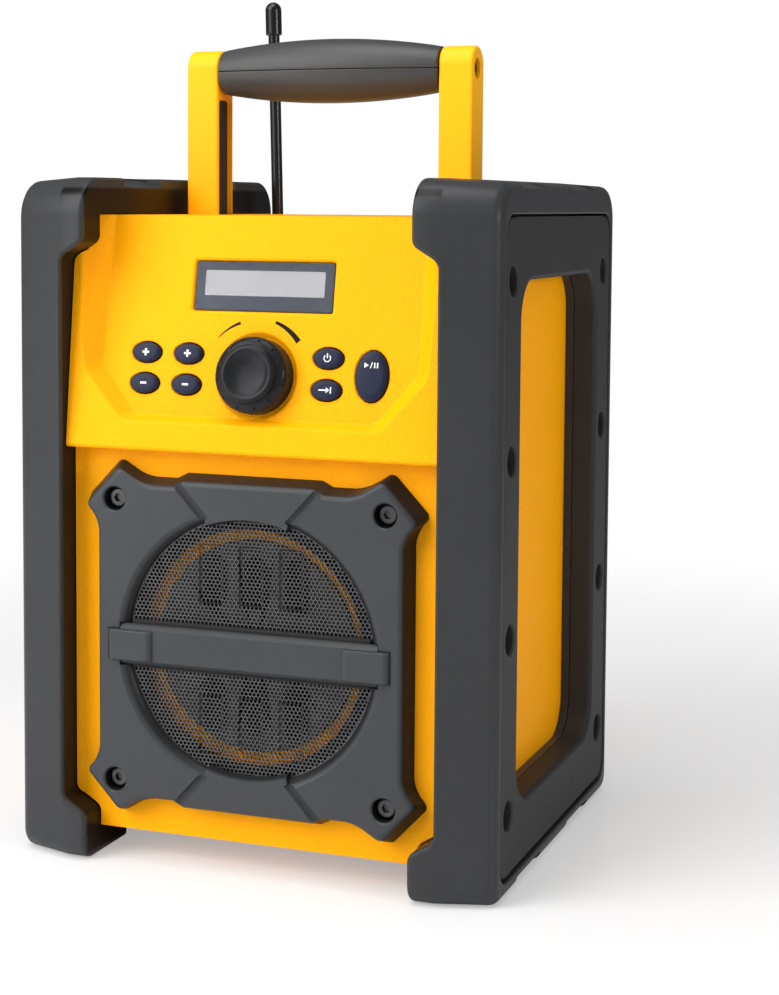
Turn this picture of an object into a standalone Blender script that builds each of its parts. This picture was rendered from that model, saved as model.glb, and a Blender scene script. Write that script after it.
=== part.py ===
"""A rugged portable radio: a yellow housing between two black bumpers, with a carrying handle.

Units are metres and +Z is up. The front faces -Y. The origin is on the floor, midway between the bumpers.
"""

import math

import bmesh
import bpy
from mathutils import Matrix, Vector

MM = 0.001

# Clearances
GAP = 0.3 * MM
HINGE_GAP = 0.4 * MM
REACH = 30 * MM

# Roundness of turned shapes and corners
LARGE_STEPS = 32
ROUND_STEPS = 16
SMALL_STEPS = 12
SCREW_STEPS = 8
CORNER_STEPS = 3
SMALL_CORNER_STEPS = 2

# Overall size over the bumpers
OVERALL_WIDTH = 178 * MM
OVERALL_DEPTH = 163 * MM
OVERALL_HEIGHT = 240 * MM

# Bumper sections and edges
RAIL_WIDTH = 29 * MM
POST_WIDTH = 20 * MM
BUMPER_TOP_CORNER = 13 * MM
BUMPER_FOOT_CORNER = 7 * MM
BUMPER_SLANT = 6.5 * MM
BUMPER_FALL = 1.5 * MM
BUMPER_EDGE = 3 * MM
BUMPER_EDGE_STEPS = 2
LIP_TOP = 22 * MM
LIP_BOTTOM = 16.7 * MM
LIP_SLOPE = 5.5 * MM
FRONT_NOTCH = -35.5 * MM
REAR_NOTCH = 29.5 * MM
NOTCH_LENGTH = 29 * MM
NOTCH_DEPTH = 6 * MM
NOTCH_RAMP = 8.5 * MM

# What the bumpers cover of the housing
SIDE_COVER = 12.5 * MM
END_COVER = 13.5 * MM
TOP_COVER = 13 * MM
FLOOR_CLEARANCE = 10 * MM

# Side plates and their screws
PLATE_RECESS = 2 * MM
PLATE_THICKNESS = 7 * MM
PLATE_END_MARGIN = 11.8 * MM
PLATE_TOP_MARGIN = 12.5 * MM
PLATE_BOTTOM_MARGIN = 6.5 * MM
PLATE_CORNER = 8 * MM
WINDOW_END_MARGIN = 19.7 * MM
WINDOW_RISE_MARGIN = 21.5 * MM
WINDOW_CORNER = 14 * MM
SIDE_SCREW_ROWS = 4
SIDE_SCREW_END_MARGIN = 9.4 * MM
SIDE_SCREW_RISE_MARGIN = 21 * MM
SIDE_COUNTERBORE_RADIUS = 5 * MM
SIDE_COUNTERBORE_DEPTH = 5 * MM
SIDE_HEAD_RADIUS = 4.2 * MM
SIDE_HEAD_HEIGHT = 2.6 * MM
SIDE_SHANK_RADIUS = 1.9 * MM
SIDE_SHANK_LENGTH = 13 * MM

# Housing shells
WALL = 3 * MM
PARTING = -12 * MM
CORNER_POST_WIDTH = 8 * MM
CORNER_POST_DEPTH = 12 * MM

# Console and its recessed panel
CONSOLE_HEIGHT = 81 * MM
BAFFLE_PROUD = 1.6 * MM
CONSOLE_FOOT_PROUD = 9.6 * MM
CONSOLE_HEAD_PROUD = 1 * MM
PANEL_PROUD = 0.5 * MM
PANEL_DROP = 53 * MM
PANEL_LEAN = math.radians(10.5)
RECESS_MARGIN = 10.2 * MM
RECESS_FLOOR_BITE = 0.4 * MM
RECESS_CUT_WIDTH = 14.2 * MM
RECESS_CUT_HEIGHT = 17.3 * MM
RECESS_CUTTER = 14 * MM
RECESS_FLARE = 1.187
RECESS_FLARE_CENTRE = 27 * MM

# Keys on the panel
KEY_WIDTH = 11 * MM
KEY_HEIGHT = 7 * MM
PLAY_KEY_WIDTH = 11.7 * MM
PLAY_KEY_HEIGHT = 17.4 * MM
KEY_NEAR = 26 * MM
KEY_FAR = 42 * MM
KEY_UPPER = 5.5 * MM
KEY_LOWER = -5.3 * MM
KEY_PROUD = 1.2 * MM
KEY_TRAVEL = 1 * MM
KEY_FLANGE = 1 * MM
SWITCH_SIZE = 6 * MM

# Volume knob, its dish and its shaft
KNOB_DROP = 1.5 * MM
KNOB_RADIUS = 13.25 * MM
KNOB_RING_HEIGHT = 4.2 * MM
KNOB_RING_WIDTH = 3.25 * MM
KNOB_HEIGHT = 8.5 * MM
KNOB_HOLLOW = 1 * MM
KNOB_CREST_INSET = 1.2 * MM
KNOB_BOWL_INSET = 2.5 * MM
DISH_MARGIN = 1.95 * MM
DISH_DEPTH = 1.5 * MM
SHAFT_RADIUS = 3 * MM
SHAFT_ENGAGED = 5 * MM
ENCODER_SIZE = 13 * MM
ENCODER_HEIGHT = 5.5 * MM
ENCODER_FLOOR = 0.8 * MM

# Display
DISPLAY_RISE = 29.5 * MM
WINDOW_WIDTH = 51.4 * MM
WINDOW_HEIGHT = 17 * MM
WINDOW_SUNK = 0.6 * MM
WINDOW_THICKNESS = 1.4 * MM
DISPLAY_LEDGE = 3 * MM
MODULE_INSET = 0.6 * MM

# Control board
BOARD_THICKNESS = 1.6 * MM
BOARD_DEPTH = 10 * MM
BOARD_HALF_WIDTH = 52 * MM
BOARD_LOW = -13.5 * MM
BOARD_HIGH = 42 * MM
BOSS_RADIUS = 2.5 * MM
BOSS_INSET = 3 * MM

# Speaker frame, counted from the middle of the opening
SPEAKER_RISE = 1.2 * MM
FRAME_DEPTH = 7.4 * MM
FRAME_SIDE_BAND = 11.1 * MM
FRAME_END_BAND = 9.6 * MM
FRAME_CROWN_HEIGHT = 2 * MM
FRAME_CROWN_HALF = 25 * MM
FRAME_CROWN_SLOPE = 4 * MM
EAR_ROOT = 18.1 * MM
EAR_RISE = 6 * MM
EAR_TIP_INSET = 8 * MM
EAR_SPREAD = 5.2 * MM
EAR_DROP = 8 * MM
FRAME_EDGE = 2 * MM
FRAME_DRAFT = 0.959
OPENING_FLARE = 3.5 * MM
OPENING_RADIUS = 44 * MM
OPENING_DEPTH = 3.6 * MM
FRAME_SCREW_SIDE_INSET = 8.5 * MM
FRAME_SCREW_END_INSET = 7.5 * MM
FRAME_COUNTERBORE_RADIUS = 4.2 * MM
FRAME_COUNTERBORE_DEPTH = 6 * MM
FRAME_HEAD_RADIUS = 3.3 * MM
FRAME_HEAD_HEIGHT = 2.4 * MM
FRAME_SHANK_RADIUS = 1.5 * MM
FRAME_SHANK_LENGTH = 9 * MM

# Grille disc, its holes and the bar across it
GRILLE_REBATE = 2.2 * MM
GRILLE_THICKNESS = 0.8 * MM
GRILLE_PITCH = 9.6 * MM
GRILLE_HOLE_RADIUS = 3.6 * MM
GRILLE_RIM = 2.5 * MM
BAR_DROP = 1.2 * MM
BAR_LAP = 4.7 * MM
BAR_HEIGHT = 9.4 * MM
BAR_SUNK = 2.3 * MM
BAR_PROUD = 1.1 * MM
BLOCK_LENGTH = 17 * MM
BLOCK_HEIGHT = 10.6 * MM
BLOCK_PROUD = 0.8 * MM

# Slotted plate and raised ring behind the grille
LOUVRE_INSET = 7.3 * MM
LOUVRE_THICKNESS = 2.5 * MM
SLOT_WIDTH = 6.5 * MM
SLOT_PITCH = 12.5 * MM
SLOT_SPACING = 16 * MM
SLOT_RIM = 5.2 * MM
RING_WIDTH = 4 * MM

# Speaker driver
FLANGE_LAP = 8.3 * MM
FLANGE_THICKNESS = 2.3 * MM
FLANGE_WIDTH = 8.4 * MM
SURROUND_WIDTH = 3.6 * MM
CONE_DEPTH = 18.2 * MM
DUST_CAP_INSET = 0.7 * MM
PAPER = 1 * MM
COIL_RADIUS = 10 * MM
COIL_WALL = 0.8 * MM
COIL_LENGTH = 11 * MM
BASKET_BACK_ROOM = 7.6 * MM
BASKET_WALL = 2 * MM
BASKET_NECK_RADIUS = 26 * MM
COIL_CLEARANCE = 1.5 * MM
MAGNET_RADIUS = 29 * MM
MAGNET_HEIGHT = 14 * MM
MAGNET_BORE_DEPTH = 9 * MM

# Handle
ARM_INNER = 43.5 * MM
ARM_WIDTH = 12.8 * MM
ARM_DEPTH = 13.8 * MM
ARM_RISE = 61.4 * MM
ARM_SUNK = 28.7 * MM
COLLAR_HEIGHT = 4.2 * MM
COLLAR_MARGIN = 3 * MM
GRIP_RISE = 53.2 * MM
GRIP_END_RADIUS = 8.2 * MM
GRIP_MIDDLE_RADIUS = 11.8 * MM
BOLT_RADIUS = 2.9 * MM
BOLT_HEAD_RADIUS = 3.4 * MM
BOLT_HEAD_HEIGHT = 2.5 * MM
BOLT_SUNK = 1.5 * MM

# Battery bay, its cells and its door
CELL_RADIUS = 13 * MM
CELL_LENGTH = 50 * MM
CELL_NUB_RADIUS = 3 * MM
CELL_NUB_LENGTH = 1.5 * MM
CONTACT_SPACE = 2 * MM
BAY_RISE = 30 * MM
BAY_WALL = 2.5 * MM
DOOR_THICKNESS = 3 * MM
DOOR_SIDE_LAP = 4 * MM
DOOR_LOW_LAP = 3.5 * MM
DOOR_HIGH_LAP = 10 * MM
PEG_RADIUS = 1 * MM
PEG_LENGTH = 2.2 * MM
DOOR_SCREW_DROP = 5.2 * MM
DOOR_HEAD_RADIUS = 4.2 * MM
DOOR_HEAD_HEIGHT = 1.4 * MM
DOOR_SHANK_RADIUS = 1.6 * MM
DOOR_SHANK_LENGTH = 6 * MM
COIN_SLOT = 1.2 * MM

# Main board and its two sockets
MAIN_BOARD_HALF = 46 * MM
MAIN_BOARD_DEPTH = 27 * MM
RAIL_HEIGHT = 3 * MM
RAIL_THICKNESS = 4 * MM
SOCKET_SIZE = 10 * MM
SOCKET_LENGTH = 12 * MM
SOCKET_NOSE_RADIUS = 4.2 * MM
POWER_SOCKET_X = 22 * MM
AUDIO_SOCKET_X = 36 * MM
POWER_BORE_RADIUS = 3 * MM
AUDIO_BORE_RADIUS = 1.8 * MM

# Antenna
ANTENNA_X = -52.7 * MM
ANTENNA_DROP = 13 * MM
ANTENNA_LENGTH = 100 * MM
ANTENNA_LEAN = math.radians(-1.5)
ROD_RADIUS = 2.3 * MM
TIP_RADIUS = 3.3 * MM
TIP_LENGTH = 13.5 * MM
EYE_RADIUS = 5.8 * MM
EYE_THICKNESS = 6.4 * MM
PIVOT_RADIUS = 2 * MM
PIVOT_HEAD_RADIUS = 4.2 * MM
PIVOT_HEAD_HEIGHT = 2.4 * MM
PIVOT_ENGAGED = 7 * MM
PIVOT_BOSS_RADIUS = 5 * MM

# Places worked out from the sizes above
HALF_WIDTH = OVERALL_WIDTH / 2
HALF_DEPTH = OVERALL_DEPTH / 2
RAIL_INNER = HALF_WIDTH - RAIL_WIDTH
POST_INNER = HALF_WIDTH - POST_WIDTH
HOUSING_X = HALF_WIDTH - SIDE_COVER
HOUSING_Y = HALF_DEPTH - END_COVER
HOUSING_TOP = OVERALL_HEIGHT - TOP_COVER
HOUSING_BOTTOM = FLOOR_CLEARANCE
CONSOLE_BOTTOM = HOUSING_TOP - CONSOLE_HEIGHT
BAFFLE_FRONT = HOUSING_Y + BAFFLE_PROUD
BAFFLE_BACK = BAFFLE_FRONT - WALL
SPEAKER_Z = (HOUSING_BOTTOM + CONSOLE_BOTTOM) / 2 + SPEAKER_RISE
KNOB_CAP_RADIUS = KNOB_RADIUS - KNOB_RING_WIDTH
DISH_RADIUS = KNOB_RADIUS + DISH_MARGIN
RECESS_FLOOR = KNOB_DROP + DISH_RADIUS - RECESS_FLOOR_BITE
MODULE_WIDTH = WINDOW_WIDTH - 2 * MODULE_INSET
MODULE_HEIGHT = WINDOW_HEIGHT - 2 * MODULE_INSET
PLATE_OUTER = HALF_WIDTH - PLATE_RECESS
PLATE_INNER = PLATE_OUTER - PLATE_THICKNESS
PLATE_HALF = HALF_DEPTH - PLATE_END_MARGIN
PLATE_LOW = PLATE_BOTTOM_MARGIN
PLATE_HIGH = OVERALL_HEIGHT - PLATE_TOP_MARGIN
FRAME_BACK = BAFFLE_FRONT + GAP
FRAME_FRONT = FRAME_BACK + FRAME_DEPTH
OPENING_FRONT_RADIUS = OPENING_RADIUS + OPENING_FLARE
FRAME_HALF_WIDTH = OPENING_FRONT_RADIUS + FRAME_SIDE_BAND
FRAME_HALF_HEIGHT = OPENING_FRONT_RADIUS + FRAME_END_BAND
FRAME_SCREW_X = FRAME_HALF_WIDTH - FRAME_SCREW_SIDE_INSET
FRAME_SCREW_Z = FRAME_HALF_HEIGHT - FRAME_SCREW_END_INSET
BAR_HALF_LENGTH = OPENING_FRONT_RADIUS + BAR_LAP
GRILLE_SEAT = FRAME_FRONT - OPENING_DEPTH
LOUVRE_RADIUS = OPENING_RADIUS - LOUVRE_INSET
SLOT_END = math.sqrt(LOUVRE_RADIUS**2 - (SLOT_PITCH + SLOT_WIDTH / 2) ** 2) - SLOT_RIM
SLOT_HEIGHT = SLOT_END - SLOT_SPACING / 2
SLOT_RISE = (SLOT_END + SLOT_SPACING / 2) / 2
DRIVER_FRONT = BAFFLE_BACK - GAP
FLANGE_RADIUS = LOUVRE_RADIUS + FLANGE_LAP
SEAT_RADIUS = FLANGE_RADIUS - FLANGE_WIDTH
CONE_RADIUS = SEAT_RADIUS - SURROUND_WIDTH
DUST_CAP_RADIUS = COIL_RADIUS - DUST_CAP_INSET
BASKET_DEPTH = CONE_DEPTH + BASKET_BACK_ROOM
BASKET_HOLE_RADIUS = COIL_RADIUS + COIL_CLEARANCE
GRIP_Z = HOUSING_TOP + GRIP_RISE
ARM_OUTER = ARM_INNER + ARM_WIDTH
BAY_HALF = CELL_LENGTH + CONTACT_SPACE
BAY_LOW = HOUSING_BOTTOM + BAY_RISE
BAY_HIGH = BAY_LOW + 4 * CELL_RADIUS + 3 * GAP
BAY_BACK = HOUSING_Y - DOOR_THICKNESS - GAP
BAY_FRONT = BAY_BACK - 2 * CELL_RADIUS - 2 * GAP
DOOR_HALF = BAY_HALF + DOOR_SIDE_LAP
DOOR_LOW = BAY_LOW - DOOR_LOW_LAP
DOOR_HIGH = BAY_HIGH + DOOR_HIGH_LAP
DOOR_AXIS_Y = HOUSING_Y - DOOR_THICKNESS / 2
DOOR_AXIS_Z = DOOR_LOW + DOOR_THICKNESS / 2
BLOCK_HALF = DOOR_HALF + PEG_LENGTH + BAY_WALL
BLOCK_LOW = DOOR_LOW - BAY_WALL
BLOCK_HIGH = DOOR_HIGH + BAY_WALL
ANTENNA_Y = HOUSING_Y + HINGE_GAP + EYE_THICKNESS / 2
ANTENNA_Z = HOUSING_TOP - ANTENNA_DROP

# Finishes: colour, roughness, metallic
FINISHES = {
    "yellow_plastic": ((1.0, 0.56, 0.0), 0.5, 0.0),
    "black_plastic": ((0.035, 0.037, 0.042), 0.55, 0.0),
    "key_rubber": ((0.032, 0.038, 0.075), 0.5, 0.0),
    "clear_plastic": ((0.09, 0.12, 0.2), 0.1, 0.0),
    "steel": ((0.5, 0.5, 0.52), 0.35, 1.0),
    "black_steel": ((0.04, 0.04, 0.045), 0.4, 0.8),
    "paper_cone": ((0.02, 0.02, 0.022), 0.9, 0.0),
    "circuit_board": ((0.01, 0.12, 0.05), 0.5, 0.0),
    "cell_wrap": ((0.05, 0.12, 0.3), 0.4, 0.2),
    "grey_display": ((0.55, 0.56, 0.56), 0.4, 0.0),
}

PARTS = "portable_radio"
CUTTERS = "portable_radio_cutters"


def clear_scene():
    """Empty the file and make the two collections."""
    for old in list(bpy.data.objects):
        bpy.data.objects.remove(old, do_unlink=True)
    for name in (PARTS, CUTTERS):
        bpy.context.scene.collection.children.link(bpy.data.collections.new(name))
    for name, (colour, roughness, metallic) in FINISHES.items():
        finish = bpy.data.materials.new(name)
        finish.use_nodes = True
        shader = finish.node_tree.nodes["Principled BSDF"]
        shader.inputs["Base Color"].default_value = (*colour, 1.0)
        shader.inputs["Roughness"].default_value = roughness
        shader.inputs["Metallic"].default_value = metallic


def anchor(name, location, rotation=(0.0, 0.0, 0.0)):
    """An empty that carries pieces: its place and turn are theirs."""
    empty = bpy.data.objects.new(name, None)
    empty.location = location
    empty.rotation_euler = rotation
    bpy.data.collections[PARTS].objects.link(empty)
    return empty


def part(name, mesh, finish, parent, location=(0.0, 0.0, 0.0)):
    """A piece of the radio."""
    mesh.materials.clear()
    mesh.materials.append(bpy.data.materials[finish])
    mesh.shade_smooth()
    mesh.set_sharp_from_angle(angle=math.radians(35))
    piece = bpy.data.objects.new(name, mesh)
    piece.parent = parent
    piece.location = location
    bpy.data.collections[PARTS].objects.link(piece)
    return piece


def tool(name, mesh, parent, location=(0.0, 0.0, 0.0)):
    """A helper shape that cuts or joins, left out of the model."""
    helper = bpy.data.objects.new(name, mesh)
    helper.parent = parent
    helper.location = location
    helper.hide_render = True
    helper.display_type = "WIRE"
    bpy.data.collections[CUTTERS].objects.link(helper)
    return helper


def combine(target, helper, operation):
    """Add a Boolean modifier."""
    step = target.modifiers.new(helper.name, "BOOLEAN")
    step.operation = operation
    step.object = helper


def cut(target, *helpers):
    """Take helper shapes out of a piece."""
    for helper in helpers:
        combine(target, helper, "DIFFERENCE")


def join(target, *helpers):
    """Add helper shapes to a piece."""
    for helper in helpers:
        combine(target, helper, "UNION")


def finished_mesh(name, shape):
    """A mesh from a bmesh, with doubles merged and faces turned outwards."""
    bmesh.ops.remove_doubles(shape, verts=shape.verts, dist=1e-6)
    bmesh.ops.recalc_face_normals(shape, faces=shape.faces)
    mesh = bpy.data.meshes.new(name)
    shape.to_mesh(mesh)
    shape.free()
    return mesh


def block(low, high):
    """A box between two corners."""
    shape = bmesh.new()
    bmesh.ops.create_cube(shape, size=1.0)
    size = Vector(high) - Vector(low)
    middle = (Vector(high) + Vector(low)) / 2
    place = Matrix.Translation(middle) @ Matrix.Diagonal((*size, 1.0))
    bmesh.ops.transform(shape, matrix=place, verts=shape.verts)
    return finished_mesh("block", shape)


def drum(radius, low, high, steps=ROUND_STEPS, top_radius=None):
    """A cylinder along local Z, or a cone where the top radius differs."""
    shape = bmesh.new()
    bmesh.ops.create_cone(
        shape,
        cap_ends=True,
        segments=steps,
        radius1=radius,
        radius2=radius if top_radius is None else top_radius,
        depth=high - low,
    )
    bmesh.ops.translate(shape, vec=(0.0, 0.0, (low + high) / 2), verts=shape.verts)
    return finished_mesh("drum", shape)


def evaluated_mesh(thing):
    """The mesh that a curve or a modified object shows, as a bmesh; the object is removed."""
    bpy.context.scene.collection.objects.link(thing)
    graph = bpy.context.evaluated_depsgraph_get()
    mesh = bpy.data.meshes.new_from_object(thing.evaluated_get(graph))
    shape = bmesh.new()
    shape.from_mesh(mesh)
    bpy.data.objects.remove(thing, do_unlink=True)
    bpy.data.meshes.remove(mesh)
    return shape


def plate(outlines, low, high, taper=(1.0, 1.0), centre=(0.0, 0.0), waist=None):
    """Flat outlines in local XY raised along Z, where an outline inside another is a hole.

    The taper scales the upper end about the centre, starting at the waist or else at the lower end.
    """
    curve = bpy.data.curves.new("plate", "CURVE")
    curve.dimensions = "2D"
    curve.fill_mode = "BOTH"
    curve.extrude = (high - low) / 2
    for outline in outlines:
        spline = curve.splines.new("POLY")
        spline.points.add(len(outline) - 1)
        for point, (x, y) in zip(spline.points, outline):
            point.co = (x, y, 0.0, 1.0)
        spline.use_cyclic_u = True
    shape = evaluated_mesh(bpy.data.objects.new("plate", curve))
    bpy.data.curves.remove(curve)
    bmesh.ops.translate(shape, vec=(0.0, 0.0, (low + high) / 2), verts=shape.verts)
    if waist is not None:
        everything = [*shape.verts, *shape.edges, *shape.faces]
        bmesh.ops.bisect_plane(shape, geom=everything, plane_co=(0.0, 0.0, waist), plane_no=(0.0, 0.0, 1.0))
    upper = [corner for corner in shape.verts if corner.co.z > high - GAP]
    spread = Matrix.Diagonal((*taper, 1.0, 1.0))
    middle = Matrix.Translation((-centre[0], -centre[1], 0.0))
    bmesh.ops.transform(shape, matrix=spread, space=middle, verts=upper)
    return finished_mesh("plate", shape)


def turned(profile, steps=ROUND_STEPS, closed=False):
    """A profile of (radius, height) points spun round local Z."""
    mesh = bpy.data.meshes.new("profile")
    edges = [(index, index + 1) for index in range(len(profile) - 1)]
    if closed:
        edges.append((len(profile) - 1, 0))
    mesh.from_pydata([(radius, 0.0, height) for radius, height in profile], edges, [])
    spun = bpy.data.objects.new("turned", mesh)
    screw = spun.modifiers.new("spin", "SCREW")
    screw.axis = "Z"
    screw.steps = steps
    screw.render_steps = steps
    screw.use_merge_vertices = True
    screw.merge_threshold = 1e-5
    shape = evaluated_mesh(spun)
    bpy.data.meshes.remove(mesh)
    return finished_mesh("turned", shape)


def turn_mesh(mesh, axis, degrees):
    """Turn a mesh about one of its own axes."""
    mesh.transform(Matrix.Rotation(math.radians(degrees), 4, axis))
    return mesh


def rounded(corners, radii, steps=CORNER_STEPS):
    """An outline whose corners are arcs, with one radius for all corners or one for each."""
    points = []
    for index, corner in enumerate(corners):
        radius = radii[index] if isinstance(radii, list) else radii
        here = Vector(corner)
        before = (Vector(corners[index - 1]) - here).normalized()
        after = (Vector(corners[(index + 1) % len(corners)]) - here).normalized()
        half = before.angle(after) / 2
        centre = here + (before + after).normalized() * radius / math.sin(half)
        start = here + before * radius / math.tan(half) - centre
        sweep = start.angle_signed(here + after * radius / math.tan(half) - centre)
        for step in range(steps + 1):
            turn = Matrix.Rotation(-sweep * step / steps, 2)
            points.append(tuple(centre + turn @ start))
    return points


def rectangle(half_width, low, high):
    """Corners of a rectangle that is centred across X."""
    return [(-half_width, low), (half_width, low), (half_width, high), (-half_width, high)]


def oval(width, height, steps=ROUND_STEPS, centre=(0.0, 0.0)):
    """Points round an ellipse."""
    points = []
    for step in range(steps):
        angle = 2 * math.pi * step / steps
        points.append((centre[0] + width / 2 * math.cos(angle), centre[1] + height / 2 * math.sin(angle)))
    return points


def mirrored(half_outline):
    """A closed outline from its right half, listed from the bottom up."""
    return half_outline + [(-x, y) for x, y in reversed(half_outline)]


def dome(radius, low, high, steps=SMALL_CORNER_STEPS):
    """(radius, height) points of a round end, from its pole down to its rim."""
    angles = [math.pi / 2 * step / steps for step in range(steps + 1)]
    return [(radius * math.sin(angle), low + (high - low) * math.cos(angle)) for angle in angles]


def screw_mesh(head_radius, head_height, shank_radius, shank_length, steps=SCREW_STEPS):
    """A plain screw along local Z with the underside of its head at zero."""
    profile = [
        (0.0, head_height),
        (head_radius, head_height),
        (head_radius, 0.0),
        (shank_radius, 0.0),
        (shank_radius, -shank_length),
        (0.0, -shank_length),
    ]
    return turned(profile, steps)


def mouth_outline(clearance, low, high):
    """The opening between the bumpers as seen from the front: narrow at the rails, wide at the posts."""
    rail = RAIL_INNER - clearance
    post = POST_INNER - clearance
    half = [
        (rail, low),
        (rail, LIP_BOTTOM + clearance),
        (post, LIP_BOTTOM + LIP_SLOPE + clearance),
        (post, OVERALL_HEIGHT - LIP_TOP - LIP_SLOPE - clearance),
        (rail, OVERALL_HEIGHT - LIP_TOP - clearance),
        (rail, high),
    ]
    return mirrored(half)


def side_screw_places():
    """(along, height) of the screws on one side plate."""
    reach = PLATE_HALF - SIDE_SCREW_END_MARGIN
    low = PLATE_LOW + SIDE_SCREW_RISE_MARGIN
    high = PLATE_HIGH - SIDE_SCREW_RISE_MARGIN
    rows = [low + (high - low) * row / (SIDE_SCREW_ROWS - 1) for row in range(SIDE_SCREW_ROWS)]
    return [(along, height) for along in (-reach, reach) for height in rows]


def side_window():
    """Rounded outline of the window in a side plate and its bumper."""
    low = PLATE_LOW + WINDOW_RISE_MARGIN
    high = PLATE_HIGH - WINDOW_RISE_MARGIN
    return rounded(rectangle(PLATE_HALF - WINDOW_END_MARGIN, low, high), WINDOW_CORNER)


def build_bumper(name, side, facing):
    """A guard ring in the side's own frame: X along the depth, Y up, Z outwards."""
    radii = [BUMPER_FOOT_CORNER, BUMPER_FOOT_CORNER, BUMPER_TOP_CORNER, BUMPER_TOP_CORNER]
    outline = rounded(rectangle(HALF_DEPTH, 0.0, OVERALL_HEIGHT), radii)
    taper = (1 - BUMPER_SLANT / HALF_DEPTH, 1 - BUMPER_FALL / OVERALL_HEIGHT)
    ring = plate([outline], RAIL_INNER - REACH, HALF_WIDTH, taper, waist=POST_INNER)
    bumper = part(name, ring, "black_plastic", side)
    edge = bumper.modifiers.new("outer_edge", "BEVEL")
    edge.width = BUMPER_EDGE
    edge.segments = BUMPER_EDGE_STEPS
    edge.limit_method = "ANGLE"
    edge.angle_limit = math.radians(40)

    housing = block(
        (-HOUSING_Y - GAP, HOUSING_BOTTOM - GAP, RAIL_INNER - REACH),
        (HOUSING_Y + GAP, HOUSING_TOP + GAP, HOUSING_X + GAP),
    )
    opening = mouth_outline(0.0, -REACH, OVERALL_HEIGHT + REACH)
    mouth = turn_mesh(plate([opening], -HALF_DEPTH - REACH, HALF_DEPTH + REACH), "Y", 90)
    pocket_outline = rounded(rectangle(PLATE_HALF + GAP, PLATE_LOW - GAP, PLATE_HIGH + GAP), PLATE_CORNER)
    pocket = plate([pocket_outline], PLATE_INNER - GAP, HALF_WIDTH + REACH)
    window = plate([side_window()], RAIL_INNER - REACH, HALF_WIDTH + REACH)
    for label, mesh in (("housing", housing), ("mouth", mouth), ("pocket", pocket), ("window", window)):
        cut(bumper, tool(name + "_" + label, mesh, side))

    hole = drum(SIDE_SHANK_RADIUS + GAP, RAIL_INNER, HALF_WIDTH, SCREW_STEPS)
    for index, (along, height) in enumerate(side_screw_places()):
        cut(bumper, tool(f"{name}_hole_{index}", hole, side, (along, height, 0.0)))

    cut_notches(bumper, side, facing)


def cut_notches(bumper, side, facing):
    """Ramped notches in both rails, falling to the inner and the outer edge of each rail."""
    ramp = Matrix.Rotation(math.atan2(NOTCH_DEPTH, NOTCH_RAMP), 4, "X")
    starts = ((-1, RAIL_INNER + NOTCH_RAMP), (1, HALF_WIDTH - NOTCH_RAMP))
    for middle in (FRONT_NOTCH, REAR_NOTCH):
        for way, start in starts:
            for upright, level in ((1, OVERALL_HEIGHT), (-1, 0.0)):
                wedge = block((-NOTCH_LENGTH / 2, 0.0, 0.0), (NOTCH_LENGTH / 2, REACH, REACH))
                wedge.transform(Matrix.Diagonal((1.0, upright, way, 1.0)) @ ramp)
                if upright * way < 0:
                    wedge.flip_normals()
                place = (middle * facing, level, start)
                cut(bumper, tool(f"{bumper.name}_notch", wedge, side, place))


def build_side_plate(name, side):
    """The inset plate of one side, with its window and counterbored holes."""
    outline = rounded(rectangle(PLATE_HALF, PLATE_LOW, PLATE_HIGH), PLATE_CORNER - GAP)
    mesh = plate([outline, side_window()], PLATE_INNER, PLATE_OUTER)
    side_plate = part(name, mesh, "black_plastic", side)
    seat = PLATE_OUTER - SIDE_COUNTERBORE_DEPTH
    bore = turned(
        [
            (0.0, PLATE_OUTER + REACH),
            (SIDE_COUNTERBORE_RADIUS, PLATE_OUTER + REACH),
            (SIDE_COUNTERBORE_RADIUS, seat),
            (SIDE_SHANK_RADIUS + GAP, seat),
            (SIDE_SHANK_RADIUS + GAP, PLATE_INNER - REACH),
            (0.0, PLATE_INNER - REACH),
        ],
        SMALL_STEPS,
    )
    screw = screw_mesh(SIDE_HEAD_RADIUS, SIDE_HEAD_HEIGHT, SIDE_SHANK_RADIUS, SIDE_SHANK_LENGTH)
    for index, (along, height) in enumerate(side_screw_places()):
        cut(side_plate, tool(f"{name}_bore_{index}", bore, side, (along, height, 0.0)))
        screw_name = name.replace("plate", f"screw_{index + 1}")
        part(screw_name, screw.copy(), "black_steel", side, (along, height, seat + GAP))


def side_screw_holes(shell, sides, along_sign):
    """Blind holes for the side screws that enter this shell."""
    low = PLATE_OUTER - SIDE_COUNTERBORE_DEPTH - SIDE_SHANK_LENGTH - GAP
    hole = drum(SIDE_SHANK_RADIUS + GAP, low, HALF_WIDTH, SCREW_STEPS)
    for side, facing in sides:
        for index, (along, height) in enumerate(side_screw_places()):
            if along * along_sign * facing > 0:
                cut(shell, tool(f"{shell.name}_{side.name}_hole_{index}", hole, side, (along, height, 0.0)))


def console_profile():
    """(forward, height) outline of the baffle and the console that overhangs it."""
    back = HOUSING_Y - CORNER_POST_DEPTH
    return [
        (back, HOUSING_BOTTOM),
        (BAFFLE_FRONT, HOUSING_BOTTOM),
        (BAFFLE_FRONT, CONSOLE_BOTTOM),
        (HOUSING_Y + CONSOLE_FOOT_PROUD, CONSOLE_BOTTOM),
        (HOUSING_Y + CONSOLE_HEAD_PROUD, HOUSING_TOP),
        (back, HOUSING_TOP),
    ]


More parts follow.
